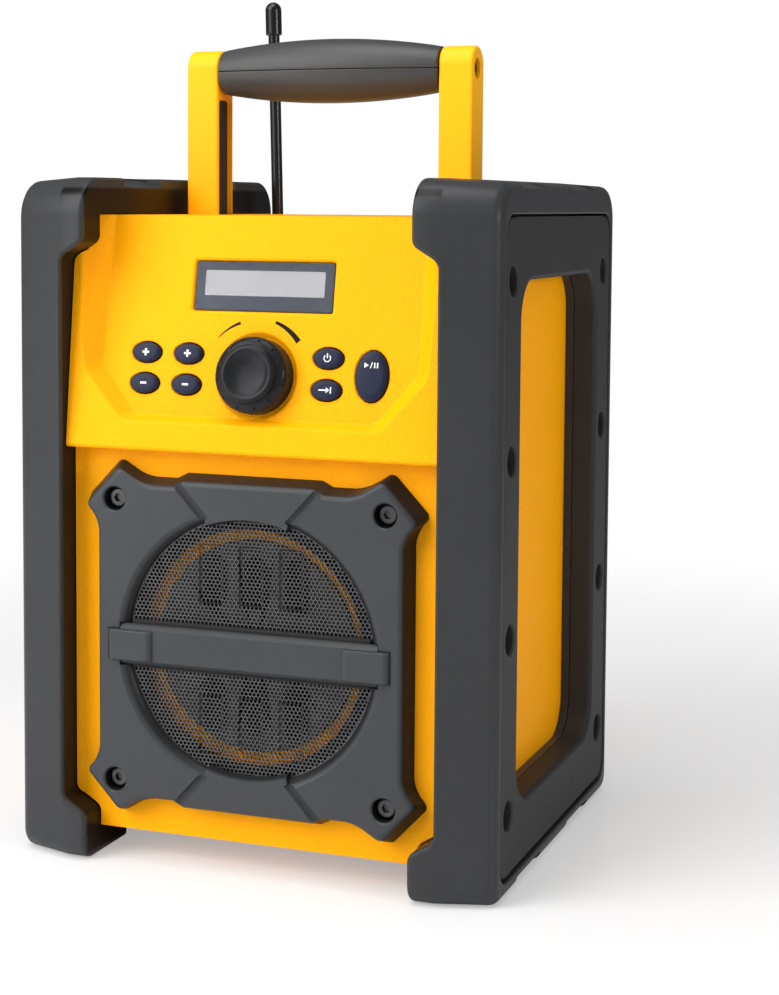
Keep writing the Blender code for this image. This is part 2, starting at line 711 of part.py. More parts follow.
def front_cavity_profile():
    """(forward, height) outline of the room inside the front shell, behind the panel and the baffle."""
    lean = math.tan(PANEL_LEAN)
    panel_back = HOUSING_Y + PANEL_PROUD - WALL / math.cos(PANEL_LEAN)
    ceiling = HOUSING_TOP - WALL
    panel_z = HOUSING_TOP - PANEL_DROP
    return [
        (-PARTING - REACH, HOUSING_BOTTOM + WALL),
        (BAFFLE_BACK, HOUSING_BOTTOM + WALL),
        (BAFFLE_BACK, panel_z - RECESS_FLOOR),
        (panel_back + RECESS_FLOOR * lean, panel_z - RECESS_FLOOR),
        (panel_back - (ceiling - panel_z) * lean, ceiling),
        (-PARTING - REACH, ceiling),
    ]


def across(profile, half_width):
    """A (forward, height) outline raised along X, in the front's frame: X across, Y up, Z forward."""
    outline = [(-forward, height) for forward, height in profile]
    return turn_mesh(plate([outline], -half_width, half_width), "Y", 90)


def recess_outline():
    """Inner outline of the console's recess on the panel."""
    half = POST_INNER - RECESS_MARGIN
    right = [
        (half - RECESS_CUT_WIDTH, -RECESS_FLOOR),
        (half, RECESS_CUT_HEIGHT - RECESS_FLOOR),
        (half, PANEL_DROP + REACH),
    ]
    return mirrored(right)


def key_places():
    """Name, width, height and place on the panel of each key."""
    pair = (KEY_WIDTH, KEY_HEIGHT)
    return [
        ("tune_up_button", *pair, -KEY_FAR, KEY_UPPER),
        ("tune_down_button", *pair, -KEY_FAR, KEY_LOWER),
        ("preset_up_button", *pair, -KEY_NEAR, KEY_UPPER),
        ("preset_down_button", *pair, -KEY_NEAR, KEY_LOWER),
        ("power_button", *pair, KEY_NEAR, KEY_UPPER),
        ("source_button", *pair, KEY_NEAR, KEY_LOWER),
        ("play_button", PLAY_KEY_WIDTH, PLAY_KEY_HEIGHT, KEY_FAR, 0.0),
    ]


def board_boss_places():
    """Corners of the control board where the housing's bosses meet it."""
    reach = BOARD_HALF_WIDTH - BOSS_INSET
    return [(x, y) for x in (-reach, reach) for y in (BOARD_LOW + BOSS_INSET, BOARD_HIGH - BOSS_INSET)]


def frame_screw_places():
    """Centres of the speaker frame's screws, from the middle of the opening."""
    return [(x, y) for x in (-FRAME_SCREW_X, FRAME_SCREW_X) for y in (FRAME_SCREW_Z, -FRAME_SCREW_Z)]


def build_front_housing(front, panel, speaker, sides):
    """The front shell: console, baffle, and the openings for everything that shows."""
    core = block((-HOUSING_X, HOUSING_BOTTOM, -PARTING), (HOUSING_X, HOUSING_TOP, HOUSING_Y))
    shell = part("front_housing", core, "yellow_plastic", front)
    face = tool("console_face", across(console_profile(), POST_INNER), front)
    mouth = plate([mouth_outline(GAP, -REACH, OVERALL_HEIGHT + REACH)], 0.0, HALF_DEPTH + REACH)
    combine(face, tool("console_mouth", mouth, front), "INTERSECT")
    join(shell, face)
    flare = (RECESS_FLARE, RECESS_FLARE)
    recess = plate([recess_outline()], 0.0, RECESS_CUTTER, flare, (0.0, RECESS_FLARE_CENTRE))
    cut(shell, tool("console_recess", recess, panel))

    cavity = tool("front_cavity", across(front_cavity_profile(), HOUSING_X - WALL), front)
    for way in (-1, 1):
        inner, outer = sorted((way * (HOUSING_X - WALL - CORNER_POST_WIDTH), way * (HOUSING_X + REACH)))
        post = block((inner, -REACH, HOUSING_Y - CORNER_POST_DEPTH), (outer, OVERALL_HEIGHT, HALF_DEPTH))
        cut(cavity, tool(f"front_post_{way}", post, front))
    cut(shell, cavity)

    boss = drum(BOSS_RADIUS, GAP - BOARD_DEPTH, -WALL / 2, SMALL_STEPS)
    for index, (x, y) in enumerate(board_boss_places()):
        join(shell, tool(f"board_boss_{index}", boss, panel, (x, y, 0.0)))
    for name, width, height, x, y in key_places():
        hole = plate([oval(width + 2 * GAP, height + 2 * GAP)], -REACH / 2, REACH / 2)
        cut(shell, tool(name + "_hole", hole, panel, (x, y, 0.0)))
    dish = turned(
        [
            (0.0, REACH / 2),
            (DISH_RADIUS, REACH / 2),
            (DISH_RADIUS, 0.0),
            (KNOB_RADIUS + GAP, -DISH_DEPTH),
            (SHAFT_RADIUS + GAP, -DISH_DEPTH),
            (SHAFT_RADIUS + GAP, -BOARD_DEPTH),
            (0.0, -BOARD_DEPTH),
        ],
        LARGE_STEPS,
    )
    cut(shell, tool("knob_dish", dish, panel, (0.0, -KNOB_DROP, 0.0)))
    pocket = block(
        (-WINDOW_WIDTH / 2 - GAP, -WINDOW_HEIGHT / 2 - GAP, -WINDOW_SUNK - WINDOW_THICKNESS - GAP),
        (WINDOW_WIDTH / 2 + GAP, WINDOW_HEIGHT / 2 + GAP, REACH / 2),
    )
    sight = block(
        (DISPLAY_LEDGE - WINDOW_WIDTH / 2, DISPLAY_LEDGE - WINDOW_HEIGHT / 2, -REACH / 2),
        (WINDOW_WIDTH / 2 - DISPLAY_LEDGE, WINDOW_HEIGHT / 2 - DISPLAY_LEDGE, REACH / 2),
    )
    cut(shell, tool("window_pocket", pocket, panel, (0.0, DISPLAY_RISE, 0.0)))
    cut(shell, tool("window_sight", sight, panel, (0.0, DISPLAY_RISE, 0.0)))

    ring_high = GRILLE_SEAT - GAP - GRILLE_THICKNESS - GAP
    ring = drum(LOUVRE_RADIUS + GAP + RING_WIDTH, BAFFLE_BACK + WALL / 2, ring_high, LARGE_STEPS)
    hole = drum(LOUVRE_RADIUS + GAP, BAFFLE_BACK - REACH / 4, FRAME_FRONT, LARGE_STEPS)
    join(shell, tool("baffle_ring", ring, speaker))
    cut(shell, tool("baffle_hole", hole, speaker))
    screw_hole = drum(FRAME_SHANK_RADIUS + GAP, BAFFLE_BACK - WALL, FRAME_FRONT, SCREW_STEPS)
    for index, (x, y) in enumerate(frame_screw_places()):
        cut(shell, tool(f"baffle_screw_hole_{index}", screw_hole, speaker, (x, y, 0.0)))
    side_screw_holes(shell, sides, -1)


def build_rear_housing(base, sides):
    """The rear shell: arm sockets, battery bay, socket holes and the antenna's boss."""
    core = block((-HOUSING_X, PARTING + GAP, HOUSING_BOTTOM), (HOUSING_X, HOUSING_Y, HOUSING_TOP))
    shell = part("rear_housing", core, "yellow_plastic", base)
    cavity_mesh = block(
        (WALL - HOUSING_X, PARTING - REACH, HOUSING_BOTTOM + WALL),
        (HOUSING_X - WALL, HOUSING_Y - WALL, HOUSING_TOP - WALL),
    )
    cavity = tool("rear_cavity", cavity_mesh, base)
    for way in (-1, 1):
        inner, outer = sorted((way * (HOUSING_X - WALL - CORNER_POST_WIDTH), way * (HOUSING_X + REACH)))
        post = block((inner, HOUSING_Y - CORNER_POST_DEPTH, -REACH), (outer, HALF_DEPTH, OVERALL_HEIGHT))
        cut(cavity, tool(f"rear_post_{way}", post, base))
    bay_block = block((-BLOCK_HALF, BAY_FRONT - BAY_WALL, BLOCK_LOW), (BLOCK_HALF, HALF_DEPTH, BLOCK_HIGH))
    cut(cavity, tool("bay_block", bay_block, base))
    cut(shell, cavity)

    bay = block((-BAY_HALF, BAY_FRONT, BAY_LOW), (BAY_HALF, HALF_DEPTH, BAY_HIGH))
    door_room = block(
        (-DOOR_HALF - GAP, HOUSING_Y - DOOR_THICKNESS - GAP, DOOR_LOW - GAP),
        (DOOR_HALF + GAP, HALF_DEPTH, DOOR_HIGH + GAP),
    )
    peg_reach = DOOR_HALF + PEG_LENGTH + GAP
    peg_room = turn_mesh(drum(PEG_RADIUS + GAP, -peg_reach, peg_reach, SMALL_STEPS), "Y", 90)
    screw_room = turn_mesh(
        drum(DOOR_SHANK_RADIUS + 2 * GAP, -HALF_DEPTH, -BAY_BACK + DOOR_SHANK_LENGTH, SMALL_STEPS), "X", 90
    )
    cut(shell, tool("battery_bay", bay, base))
    cut(shell, tool("door_room", door_room, base))
    cut(shell, tool("peg_room", peg_room, base, (0.0, DOOR_AXIS_Y, DOOR_AXIS_Z)))
    cut(shell, tool("door_screw_room", screw_room, base, (0.0, 0.0, DOOR_HIGH - DOOR_SCREW_DROP)))

    rail_front = BAY_FRONT - BAY_WALL + RAIL_THICKNESS / 2
    rail_back = rail_front + MAIN_BOARD_DEPTH - 2 * RAIL_THICKNESS
    for index, y in enumerate((rail_front, rail_back)):
        rail = block(
            (RAIL_THICKNESS - MAIN_BOARD_HALF, y, BLOCK_HIGH - BAY_WALL / 2),
            (MAIN_BOARD_HALF - RAIL_THICKNESS, y + RAIL_THICKNESS, BLOCK_HIGH + RAIL_HEIGHT),
        )
        join(shell, tool(f"board_rail_{index}", rail, base))
    nose_radius = SOCKET_NOSE_RADIUS + GAP
    nose_hole = turn_mesh(drum(nose_radius, -HALF_DEPTH, 2 * WALL - HOUSING_Y, SMALL_STEPS), "X", 90)
    for name, x in (("power", POWER_SOCKET_X), ("audio", AUDIO_SOCKET_X)):
        cut(shell, tool(name + "_nose_hole", nose_hole, base, (x, 0.0, socket_height())))

    for side, _ in sides:
        arm_room = block(
            (-ARM_DEPTH / 2 - GAP, HOUSING_TOP - 2 * WALL, ARM_INNER - GAP),
            (ARM_DEPTH / 2 + GAP, HOUSING_TOP + REACH, ARM_OUTER + GAP),
        )
        shelf_top = HOUSING_TOP - ARM_SUNK - GAP
        shelf = block(
            (-ARM_DEPTH / 2 - COLLAR_MARGIN, shelf_top - WALL, ARM_INNER - COLLAR_MARGIN),
            (ARM_DEPTH / 2 + COLLAR_MARGIN, shelf_top, HOUSING_X - WALL / 2),
        )
        cut(shell, tool(side.name + "_arm_room", arm_room, side))
        join(shell, tool(side.name + "_arm_shelf", shelf, side))

    boss_low = HOUSING_Y - WALL - PIVOT_ENGAGED
    boss = turn_mesh(drum(PIVOT_BOSS_RADIUS, WALL / 2 - HOUSING_Y, -boss_low, SMALL_STEPS), "X", 90)
    pivot_hole = turn_mesh(drum(PIVOT_RADIUS + GAP, -HALF_DEPTH, REACH - boss_low, SMALL_STEPS), "X", 90)
    join(shell, tool("pivot_boss", boss, base, (ANTENNA_X, 0.0, ANTENNA_Z)))
    cut(shell, tool("pivot_hole", pivot_hole, base, (ANTENNA_X, 0.0, ANTENNA_Z)))
    side_screw_holes(shell, sides, 1)


def build_controls(panel):
    """Keys, knob, display and the board behind them, in the panel's frame: Z is out of the panel."""
    board_mesh = block(
        (-BOARD_HALF_WIDTH, BOARD_LOW, -BOARD_DEPTH - BOARD_THICKNESS),
        (BOARD_HALF_WIDTH, BOARD_HIGH, -BOARD_DEPTH),
    )
    board = part("control_board", board_mesh, "circuit_board", panel)
    flange_top = -WALL - GAP
    flange_bottom = flange_top - KEY_FLANGE
    switch_top = flange_bottom - KEY_TRAVEL - GAP
    switch = block(
        (-SWITCH_SIZE / 2, -SWITCH_SIZE / 2, -BOARD_DEPTH - BOARD_THICKNESS / 2),
        (SWITCH_SIZE / 2, SWITCH_SIZE / 2, switch_top),
    )
    for name, width, height, x, y in key_places():
        cap = plate([oval(width, height)], flange_top - KEY_FLANGE / 2, KEY_PROUD)
        key = part(name, cap, "key_rubber", panel, (x, y, 0.0))
        flange = plate([oval(width + 2 * KEY_FLANGE, height + 2 * KEY_FLANGE)], flange_bottom, flange_top)
        join(key, tool(name + "_flange", flange, panel, (x, y, 0.0)))
        join(board, tool(name + "_switch", switch, panel, (x, y, 0.0)))

    knob_foot = GAP - DISH_DEPTH
    knob_mesh = turned(
        [
            (0.0, KNOB_HEIGHT - KNOB_HOLLOW),
            (KNOB_CAP_RADIUS - KNOB_BOWL_INSET, KNOB_HEIGHT - KNOB_HOLLOW / 2),
            (KNOB_CAP_RADIUS - KNOB_CREST_INSET, KNOB_HEIGHT),
            (KNOB_CAP_RADIUS, KNOB_HEIGHT - KNOB_HOLLOW),
            (KNOB_CAP_RADIUS, KNOB_RING_HEIGHT),
            (KNOB_RADIUS - KNOB_HOLLOW, KNOB_RING_HEIGHT),
            (KNOB_RADIUS, KNOB_RING_HEIGHT - KNOB_HOLLOW),
            (KNOB_RADIUS, knob_foot),
            (SHAFT_RADIUS + GAP, knob_foot),
            (SHAFT_RADIUS + GAP, SHAFT_ENGAGED + GAP),
            (0.0, SHAFT_ENGAGED + GAP),
        ],
        LARGE_STEPS,
    )
    encoder_top = ENCODER_HEIGHT - BOARD_DEPTH
    shaft_foot = ENCODER_FLOOR + GAP - BOARD_DEPTH
    encoder = block(
        (-ENCODER_SIZE / 2, -ENCODER_SIZE / 2, -BOARD_DEPTH - BOARD_THICKNESS / 2),
        (ENCODER_SIZE / 2, ENCODER_SIZE / 2, encoder_top),
    )
    knob_place = (0.0, -KNOB_DROP, 0.0)
    part("volume_knob", knob_mesh, "black_plastic", panel, knob_place)
    shaft = drum(SHAFT_RADIUS, shaft_foot, SHAFT_ENGAGED, SMALL_STEPS)
    part("encoder_shaft", shaft, "steel", panel, knob_place)
    join(board, tool("encoder_body", encoder, panel, knob_place))
    shaft_hole = drum(SHAFT_RADIUS + GAP, shaft_foot - GAP, REACH, SMALL_STEPS)
    cut(board, tool("encoder_bore", shaft_hole, panel, knob_place))

    display_place = (0.0, DISPLAY_RISE, 0.0)
    glass = block(
        (-WINDOW_WIDTH / 2, -WINDOW_HEIGHT / 2, -WINDOW_SUNK - WINDOW_THICKNESS),
        (WINDOW_WIDTH / 2, WINDOW_HEIGHT / 2, -WINDOW_SUNK),
    )
    module = block(
        (-MODULE_WIDTH / 2, -MODULE_HEIGHT / 2, GAP - BOARD_DEPTH),
        (MODULE_WIDTH / 2, MODULE_HEIGHT / 2, -WALL - GAP),
    )
    part("display_window", glass, "clear_plastic", panel, display_place)
    part("display_module", module, "grey_display", panel, display_place)


def frame_outline():
    """Outline of the speaker frame's foot: crowned top and bottom, with an ear at each corner."""
    shoulder = FRAME_HALF_HEIGHT
    crown = shoulder + FRAME_CROWN_HEIGHT
    half = FRAME_HALF_WIDTH
    upper = [
        (half, shoulder - EAR_DROP - EAR_RISE),
        (half + EAR_SPREAD, shoulder - EAR_DROP),
        (half - EAR_TIP_INSET, shoulder + EAR_RISE),
        (half - EAR_ROOT, shoulder),
        (FRAME_CROWN_HALF + FRAME_CROWN_SLOPE, shoulder),
        (FRAME_CROWN_HALF, crown),
    ]
    return mirrored([(x, -y) for x, y in reversed(upper)] + upper)


def grille_holes():
    """Hexagonal holes in a triangular pattern, inside the disc's rim."""
    holes = []
    limit = OPENING_RADIUS + GRILLE_REBATE - GAP - GRILLE_RIM - GRILLE_HOLE_RADIUS
    row_height = GRILLE_PITCH * math.sqrt(3) / 2
    rows = int(limit / row_height)
    for row in range(-rows, rows + 1):
        shift = GRILLE_PITCH / 2 if row % 2 else 0.0
        count = int(limit / GRILLE_PITCH) + 1
        for column in range(-count, count + 1):
            centre = (column * GRILLE_PITCH + shift, row * row_height)
            if math.hypot(*centre) < limit:
                holes.append(oval(2 * GRILLE_HOLE_RADIUS, 2 * GRILLE_HOLE_RADIUS, 6, centre))
    return holes


def bar_mesh(margin, back):
    """The crossbar, or the room for it where a margin is given."""
    return block(
        (-BAR_HALF_LENGTH - margin, -BAR_HEIGHT / 2 - margin, back),
        (BAR_HALF_LENGTH + margin, BAR_HEIGHT / 2 + margin, FRAME_FRONT + BAR_PROUD + margin),
    )


def block_mesh(way, margin, back):
    """One end block of the crossbar, or the room for it."""
    near, far = sorted((way * (BAR_HALF_LENGTH - BLOCK_LENGTH - margin), way * (BAR_HALF_LENGTH + margin)))
    return block(
        (near, -BLOCK_HEIGHT / 2 - margin, back),
        (far, BLOCK_HEIGHT / 2 + margin, FRAME_FRONT + BAR_PROUD + BLOCK_PROUD + margin),
    )


def build_speaker_front(speaker):
    """Frame, grille, crossbar and louvre, in the speaker's frame: X across, Y up, Z forward."""
    outline = rounded(frame_outline(), FRAME_EDGE, SMALL_CORNER_STEPS)
    frame_mesh = plate([outline], FRAME_BACK, FRAME_FRONT, (FRAME_DRAFT, FRAME_DRAFT))
    frame = part("speaker_frame", frame_mesh, "black_plastic", speaker)
    rebate = OPENING_RADIUS + GRILLE_REBATE
    opening = turned(
        [
            (0.0, FRAME_FRONT + REACH),
            (OPENING_FRONT_RADIUS, FRAME_FRONT + REACH),
            (OPENING_FRONT_RADIUS, FRAME_FRONT),
            (OPENING_RADIUS, GRILLE_SEAT),
            (rebate, GRILLE_SEAT),
            (rebate, FRAME_BACK - REACH),
            (0.0, FRAME_BACK - REACH),
        ],
        LARGE_STEPS,
    )
    cut(frame, tool("frame_opening", opening, speaker))

    bar_place = (0.0, -BAR_DROP, 0.0)
    bar_back = FRAME_FRONT - BAR_SUNK
    bar = part("grille_crossbar", bar_mesh(0.0, bar_back), "black_plastic", speaker, bar_place)
    cut(frame, tool("bar_room", bar_mesh(GAP, bar_back - GAP), speaker, bar_place))
    for way in (-1, 1):
        join(bar, tool(f"bar_block_{way}", block_mesh(way, 0.0, bar_back), speaker, bar_place))
        cut(frame, tool(f"bar_block_room_{way}", block_mesh(way, GAP, bar_back - GAP), speaker, bar_place))

    seat = FRAME_FRONT - FRAME_COUNTERBORE_DEPTH
    bore = turned(
        [
            (0.0, FRAME_FRONT + REACH),
            (FRAME_COUNTERBORE_RADIUS, FRAME_FRONT + REACH),
            (FRAME_COUNTERBORE_RADIUS, seat),
            (FRAME_SHANK_RADIUS + GAP, seat),
            (FRAME_SHANK_RADIUS + GAP, FRAME_BACK - REACH),
            (0.0, FRAME_BACK - REACH),
        ],
        SMALL_STEPS,
    )
    screw = screw_mesh(FRAME_HEAD_RADIUS, FRAME_HEAD_HEIGHT, FRAME_SHANK_RADIUS, FRAME_SHANK_LENGTH)
    for index, (x, y) in enumerate(frame_screw_places()):
        cut(frame, tool(f"frame_bore_{index}", bore, speaker, (x, y, 0.0)))
        part(f"frame_screw_{index + 1}", screw.copy(), "black_steel", speaker, (x, y, seat + GAP))

    disc_radius = rebate - GAP
    disc_high = GRILLE_SEAT - GAP
    disc_outlines = [oval(2 * disc_radius, 2 * disc_radius, LARGE_STEPS)] + grille_holes()
    part("speaker_grille", plate(disc_outlines, disc_high - GRILLE_THICKNESS, disc_high), "steel", speaker)

    slots = []
    for row in (-1, 1):
        for column in (-1, 0, 1):
            corners = [
                (column * SLOT_PITCH + x, row * SLOT_RISE + y)
                for x, y in rectangle(SLOT_WIDTH / 2, -SLOT_HEIGHT / 2, SLOT_HEIGHT / 2)
            ]
            slots.append(rounded(corners, SLOT_WIDTH / 2 - GAP))
    louvre_outlines = [oval(2 * LOUVRE_RADIUS, 2 * LOUVRE_RADIUS, LARGE_STEPS)] + slots
    louvre_low = DRIVER_FRONT + GAP
    louvre = plate(louvre_outlines, louvre_low, louvre_low + LOUVRE_THICKNESS)
    part("speaker_louvre", louvre, "black_plastic", speaker)


def build_driver(speaker):
    """The speaker driver: basket, surround, cone with its coil, and magnet."""
    flange_back = DRIVER_FRONT - FLANGE_THICKNESS
    basket_back = DRIVER_FRONT - BASKET_DEPTH
    seat = DRIVER_FRONT - BASKET_WALL
    basket = turned(
        [
            (FLANGE_RADIUS, DRIVER_FRONT),
            (FLANGE_RADIUS, flange_back),
            (SEAT_RADIUS + BASKET_WALL, flange_back),
            (BASKET_NECK_RADIUS, basket_back + 2 * BASKET_WALL),
            (BASKET_NECK_RADIUS, basket_back),
            (BASKET_HOLE_RADIUS, basket_back),
            (BASKET_HOLE_RADIUS, basket_back + BASKET_WALL),
            (BASKET_NECK_RADIUS - BASKET_WALL, basket_back + BASKET_WALL),
            (SEAT_RADIUS - BASKET_WALL, flange_back - BASKET_WALL),
            (SEAT_RADIUS - BASKET_WALL, seat),
            (SEAT_RADIUS, seat),
            (SEAT_RADIUS, DRIVER_FRONT),
        ],
        LARGE_STEPS,
        closed=True,
    )
    part("speaker_basket", basket, "black_steel", speaker)

    roll_outer = SEAT_RADIUS - GAP
    roll_inner = CONE_RADIUS + GAP
    roll_low = seat + GAP
    roll_high = DRIVER_FRONT - GAP
    roll_shoulder = (roll_outer - roll_inner) / 3
    surround = turned(
        [
            (roll_outer - roll_shoulder, roll_high),
            (roll_outer, roll_low + PAPER),
            (roll_outer, roll_low),
            (roll_inner, roll_low),
            (roll_inner, roll_low + PAPER),
            (roll_inner + roll_shoulder, roll_high),
        ],
        LARGE_STEPS,
        closed=True,
    )
    part("speaker_surround", surround, "paper_cone", speaker)

    cone_high = roll_low + PAPER
    cone_low = cone_high - CONE_DEPTH
    cap_rise = DUST_CAP_RADIUS / 3
    coil_inner = COIL_RADIUS - COIL_WALL
    cone = turned(
        dome(DUST_CAP_RADIUS, cone_low, cone_low + cap_rise)
        + [
            (CONE_RADIUS, cone_high),
            (CONE_RADIUS, cone_high - PAPER),
            (COIL_RADIUS, cone_low - PAPER),
            (COIL_RADIUS, cone_low - COIL_LENGTH),
            (coil_inner, cone_low - COIL_LENGTH),
        ]
        + dome(coil_inner, cone_low - 2 * PAPER, cone_low + cap_rise - PAPER)[::-1],
        LARGE_STEPS,
    )
    part("speaker_cone", cone, "paper_cone", speaker)

    magnet_high = basket_back - GAP
    magnet = turned(
        [
            (BASKET_HOLE_RADIUS, magnet_high),
            (MAGNET_RADIUS, magnet_high),
            (MAGNET_RADIUS, magnet_high - MAGNET_HEIGHT),
            (0.0, magnet_high - MAGNET_HEIGHT),
            (0.0, magnet_high - MAGNET_BORE_DEPTH),
            (BASKET_HOLE_RADIUS, magnet_high - MAGNET_BORE_DEPTH),
        ],
        ROUND_STEPS,
        closed=True,
    )
    part("speaker_magnet", magnet, "black_steel", speaker)


def arm_outline():
    """(depth, height) outline of a handle arm with its round top."""
    half = ARM_DEPTH / 2
    centre = HOUSING_TOP + ARM_RISE - half
    angles = [math.pi * step / SMALL_STEPS for step in range(SMALL_STEPS + 1)]
    arc = [(half * math.cos(angle), centre + half * math.sin(angle)) for angle in angles]
    foot = HOUSING_TOP - ARM_SUNK
    return [(-half, foot), (half, foot)] + arc


def build_handle(base, sides):
    """Two arms, a grip in two halves, and the bolt that runs through them."""
    bolt_seat = ARM_OUTER - BOLT_SUNK - BOLT_HEAD_HEIGHT
    counterbore = turned(
        [
            (0.0, ARM_OUTER + REACH),
            (BOLT_HEAD_RADIUS + GAP, ARM_OUTER + REACH),
            (BOLT_HEAD_RADIUS + GAP, bolt_seat - GAP),
            (BOLT_RADIUS + GAP, bolt_seat - GAP),
            (BOLT_RADIUS + GAP, 0.0),
            (0.0, 0.0),
        ],
        SMALL_STEPS,
    )
    for side, _ in sides:
        arm_name = side.name.replace("side", "handle_arm")
        arm = part(arm_name, plate([arm_outline()], ARM_INNER, ARM_OUTER), "yellow_plastic", side)
        collar_top = HOUSING_TOP - WALL - GAP
        collar = block(
            (-ARM_DEPTH / 2 - COLLAR_MARGIN, collar_top - COLLAR_HEIGHT, ARM_INNER - COLLAR_MARGIN),
            (ARM_DEPTH / 2 + COLLAR_MARGIN, collar_top, ARM_OUTER + COLLAR_MARGIN),
        )
        join(arm, tool(arm_name + "_collar", collar, side))
        cut(arm, tool(arm_name + "_bore", counterbore, side, (0.0, GRIP_Z, 0.0)))

    half_length = ARM_INNER - GAP
    swell = GRIP_MIDDLE_RADIUS - GRIP_END_RADIUS
    stations = [1 - step / (CORNER_STEPS * 2) for step in range(CORNER_STEPS * 4 + 1)]
    barrel_profile = [(GRIP_MIDDLE_RADIUS - swell * place**2, half_length * place) for place in stations]
    channel = BOLT_RADIUS + GAP
    barrel_profile += [(channel, -half_length), (channel, half_length)]
    barrel = turn_mesh(turned(barrel_profile, ROUND_STEPS, closed=True), "Y", 90)
    for name, way in (("grip_upper_half", 1), ("grip_lower_half", -1)):
        grip = part(name, barrel.copy(), "black_plastic", base, (0.0, 0.0, GRIP_Z))
        low, high = sorted((way * GAP / 2, way * REACH))
        keep = block((-ARM_INNER - REACH, -REACH, low), (ARM_INNER + REACH, REACH, high))
        combine(grip, tool(name + "_keep", keep, base, (0.0, 0.0, GRIP_Z)), "INTERSECT")

    bolt = turned(
        [
            (0.0, bolt_seat + BOLT_HEAD_HEIGHT),
            (BOLT_HEAD_RADIUS, bolt_seat + BOLT_HEAD_HEIGHT),
            (BOLT_HEAD_RADIUS, bolt_seat),
            (BOLT_RADIUS, bolt_seat),
            (BOLT_RADIUS, -bolt_seat),
            (BOLT_HEAD_RADIUS, -bolt_seat),
            (BOLT_HEAD_RADIUS, -bolt_seat - BOLT_HEAD_HEIGHT),
            (0.0, -bolt_seat - BOLT_HEAD_HEIGHT),
        ],
        SMALL_STEPS,
    )
    part("handle_bolt", turn_mesh(bolt, "Y", 90), "black_steel", base, (0.0, 0.0, GRIP_Z))


def build_battery(base):
    """Four cells, two end to end in each row."""
    cell = turned(
        [
            (0.0, CELL_LENGTH),
            (CELL_NUB_RADIUS, CELL_LENGTH),
            (CELL_NUB_RADIUS, CELL_LENGTH - CELL_NUB_LENGTH),
            (CELL_RADIUS, CELL_LENGTH - CELL_NUB_LENGTH),
            (CELL_RADIUS, GAP),
            (0.0, GAP),
        ],
        ROUND_STEPS,
    )
    middle = (BAY_FRONT + BAY_BACK) / 2
    number = 1
    for row in range(2):
        height = BAY_LOW + GAP + CELL_RADIUS + row * (2 * CELL_RADIUS + GAP)
        for start in (-CELL_LENGTH, 0.0):
            mesh = turn_mesh(cell.copy(), "Y", 90)
            part(f"battery_cell_{number}", mesh, "cell_wrap", base, (start, middle, height))
            number += 1


def build_door(hinge):
    """The battery door and its captive screw, in a frame on the hinge axis."""
    rise = DOOR_HIGH - DOOR_AXIS_Z
    half = DOOR_THICKNESS / 2
    panel = turn_mesh(plate([rectangle(DOOR_HALF, 0.0, rise)], -half, half), "X", 90)
    door = part("battery_door", panel, "yellow_plastic", hinge)
    edge = turn_mesh(drum(half, -DOOR_HALF, DOOR_HALF, SMALL_STEPS), "Y", 90)
    peg_reach = DOOR_HALF + PEG_LENGTH
    pegs = turn_mesh(drum(PEG_RADIUS, -peg_reach, peg_reach, SMALL_STEPS), "Y", 90)
    join(door, tool("door_edge", edge, hinge), tool("door_pegs", pegs, hinge))

    screw_place = (0.0, 0.0, rise - DOOR_SCREW_DROP)
    seat = half - DOOR_HEAD_HEIGHT - GAP
    bore = turned(
        [
            (0.0, REACH),
            (DOOR_HEAD_RADIUS + GAP, REACH),
            (DOOR_HEAD_RADIUS + GAP, seat),
            (DOOR_SHANK_RADIUS + GAP, seat),
            (DOOR_SHANK_RADIUS + GAP, -REACH),
            (0.0, -REACH),
        ],
        ROUND_STEPS,
    )
    cut(door, tool("door_bore", turn_mesh(bore, "X", -90), hinge, screw_place))
    mesh = screw_mesh(DOOR_HEAD_RADIUS, DOOR_HEAD_HEIGHT, DOOR_SHANK_RADIUS, DOOR_SHANK_LENGTH, ROUND_STEPS)
    mesh.transform(Matrix.Translation((0.0, 0.0, seat + GAP)))
    screw = part("door_screw", turn_mesh(mesh, "X", -90), "steel", hinge, screw_place)
    slot = block((-REACH, half - DOOR_HEAD_HEIGHT / 2, -COIN_SLOT / 2), (REACH, REACH, COIN_SLOT / 2))
    cut(screw, tool("door_screw_slot", slot, hinge, screw_place))


def socket_height():
    """Height of the sockets' axes."""
    return BLOCK_HIGH + RAIL_HEIGHT + GAP + BOARD_THICKNESS + SOCKET_SIZE / 2


def build_main_board(base):
    """The board over the battery bay, with its power and audio sockets at the rear wall."""
    low = BLOCK_HIGH + RAIL_HEIGHT + GAP
    front = BAY_FRONT - BAY_WALL
    board_mesh = block(
        (-MAIN_BOARD_HALF, front, low),
        (MAIN_BOARD_HALF, front + MAIN_BOARD_DEPTH, low + BOARD_THICKNESS),
    )
    board = part("main_board", board_mesh, "circuit_board", base)
    wall_face = HOUSING_Y - WALL - GAP
    sockets = (("power", POWER_SOCKET_X, POWER_BORE_RADIUS), ("audio", AUDIO_SOCKET_X, AUDIO_BORE_RADIUS))
    for name, x, bore_radius in sockets:
        body = block(
            (x - SOCKET_SIZE / 2, wall_face - SOCKET_LENGTH, low + BOARD_THICKNESS / 2),
            (x + SOCKET_SIZE / 2, wall_face, socket_height() + SOCKET_SIZE / 2),
        )
        nose = turn_mesh(drum(SOCKET_NOSE_RADIUS, GAP - HOUSING_Y, -wall_face + WALL, SMALL_STEPS), "X", 90)
        bore_end = SOCKET_LENGTH - WALL - wall_face
        bore = turn_mesh(drum(bore_radius, -HALF_DEPTH, bore_end, SMALL_STEPS), "X", 90)
        place = (x, 0.0, socket_height())
        join(board, tool(name + "_socket_body", body, base), tool(name + "_socket_nose", nose, base, place))
        cut(board, tool(name + "_socket_bore", bore, base, place))


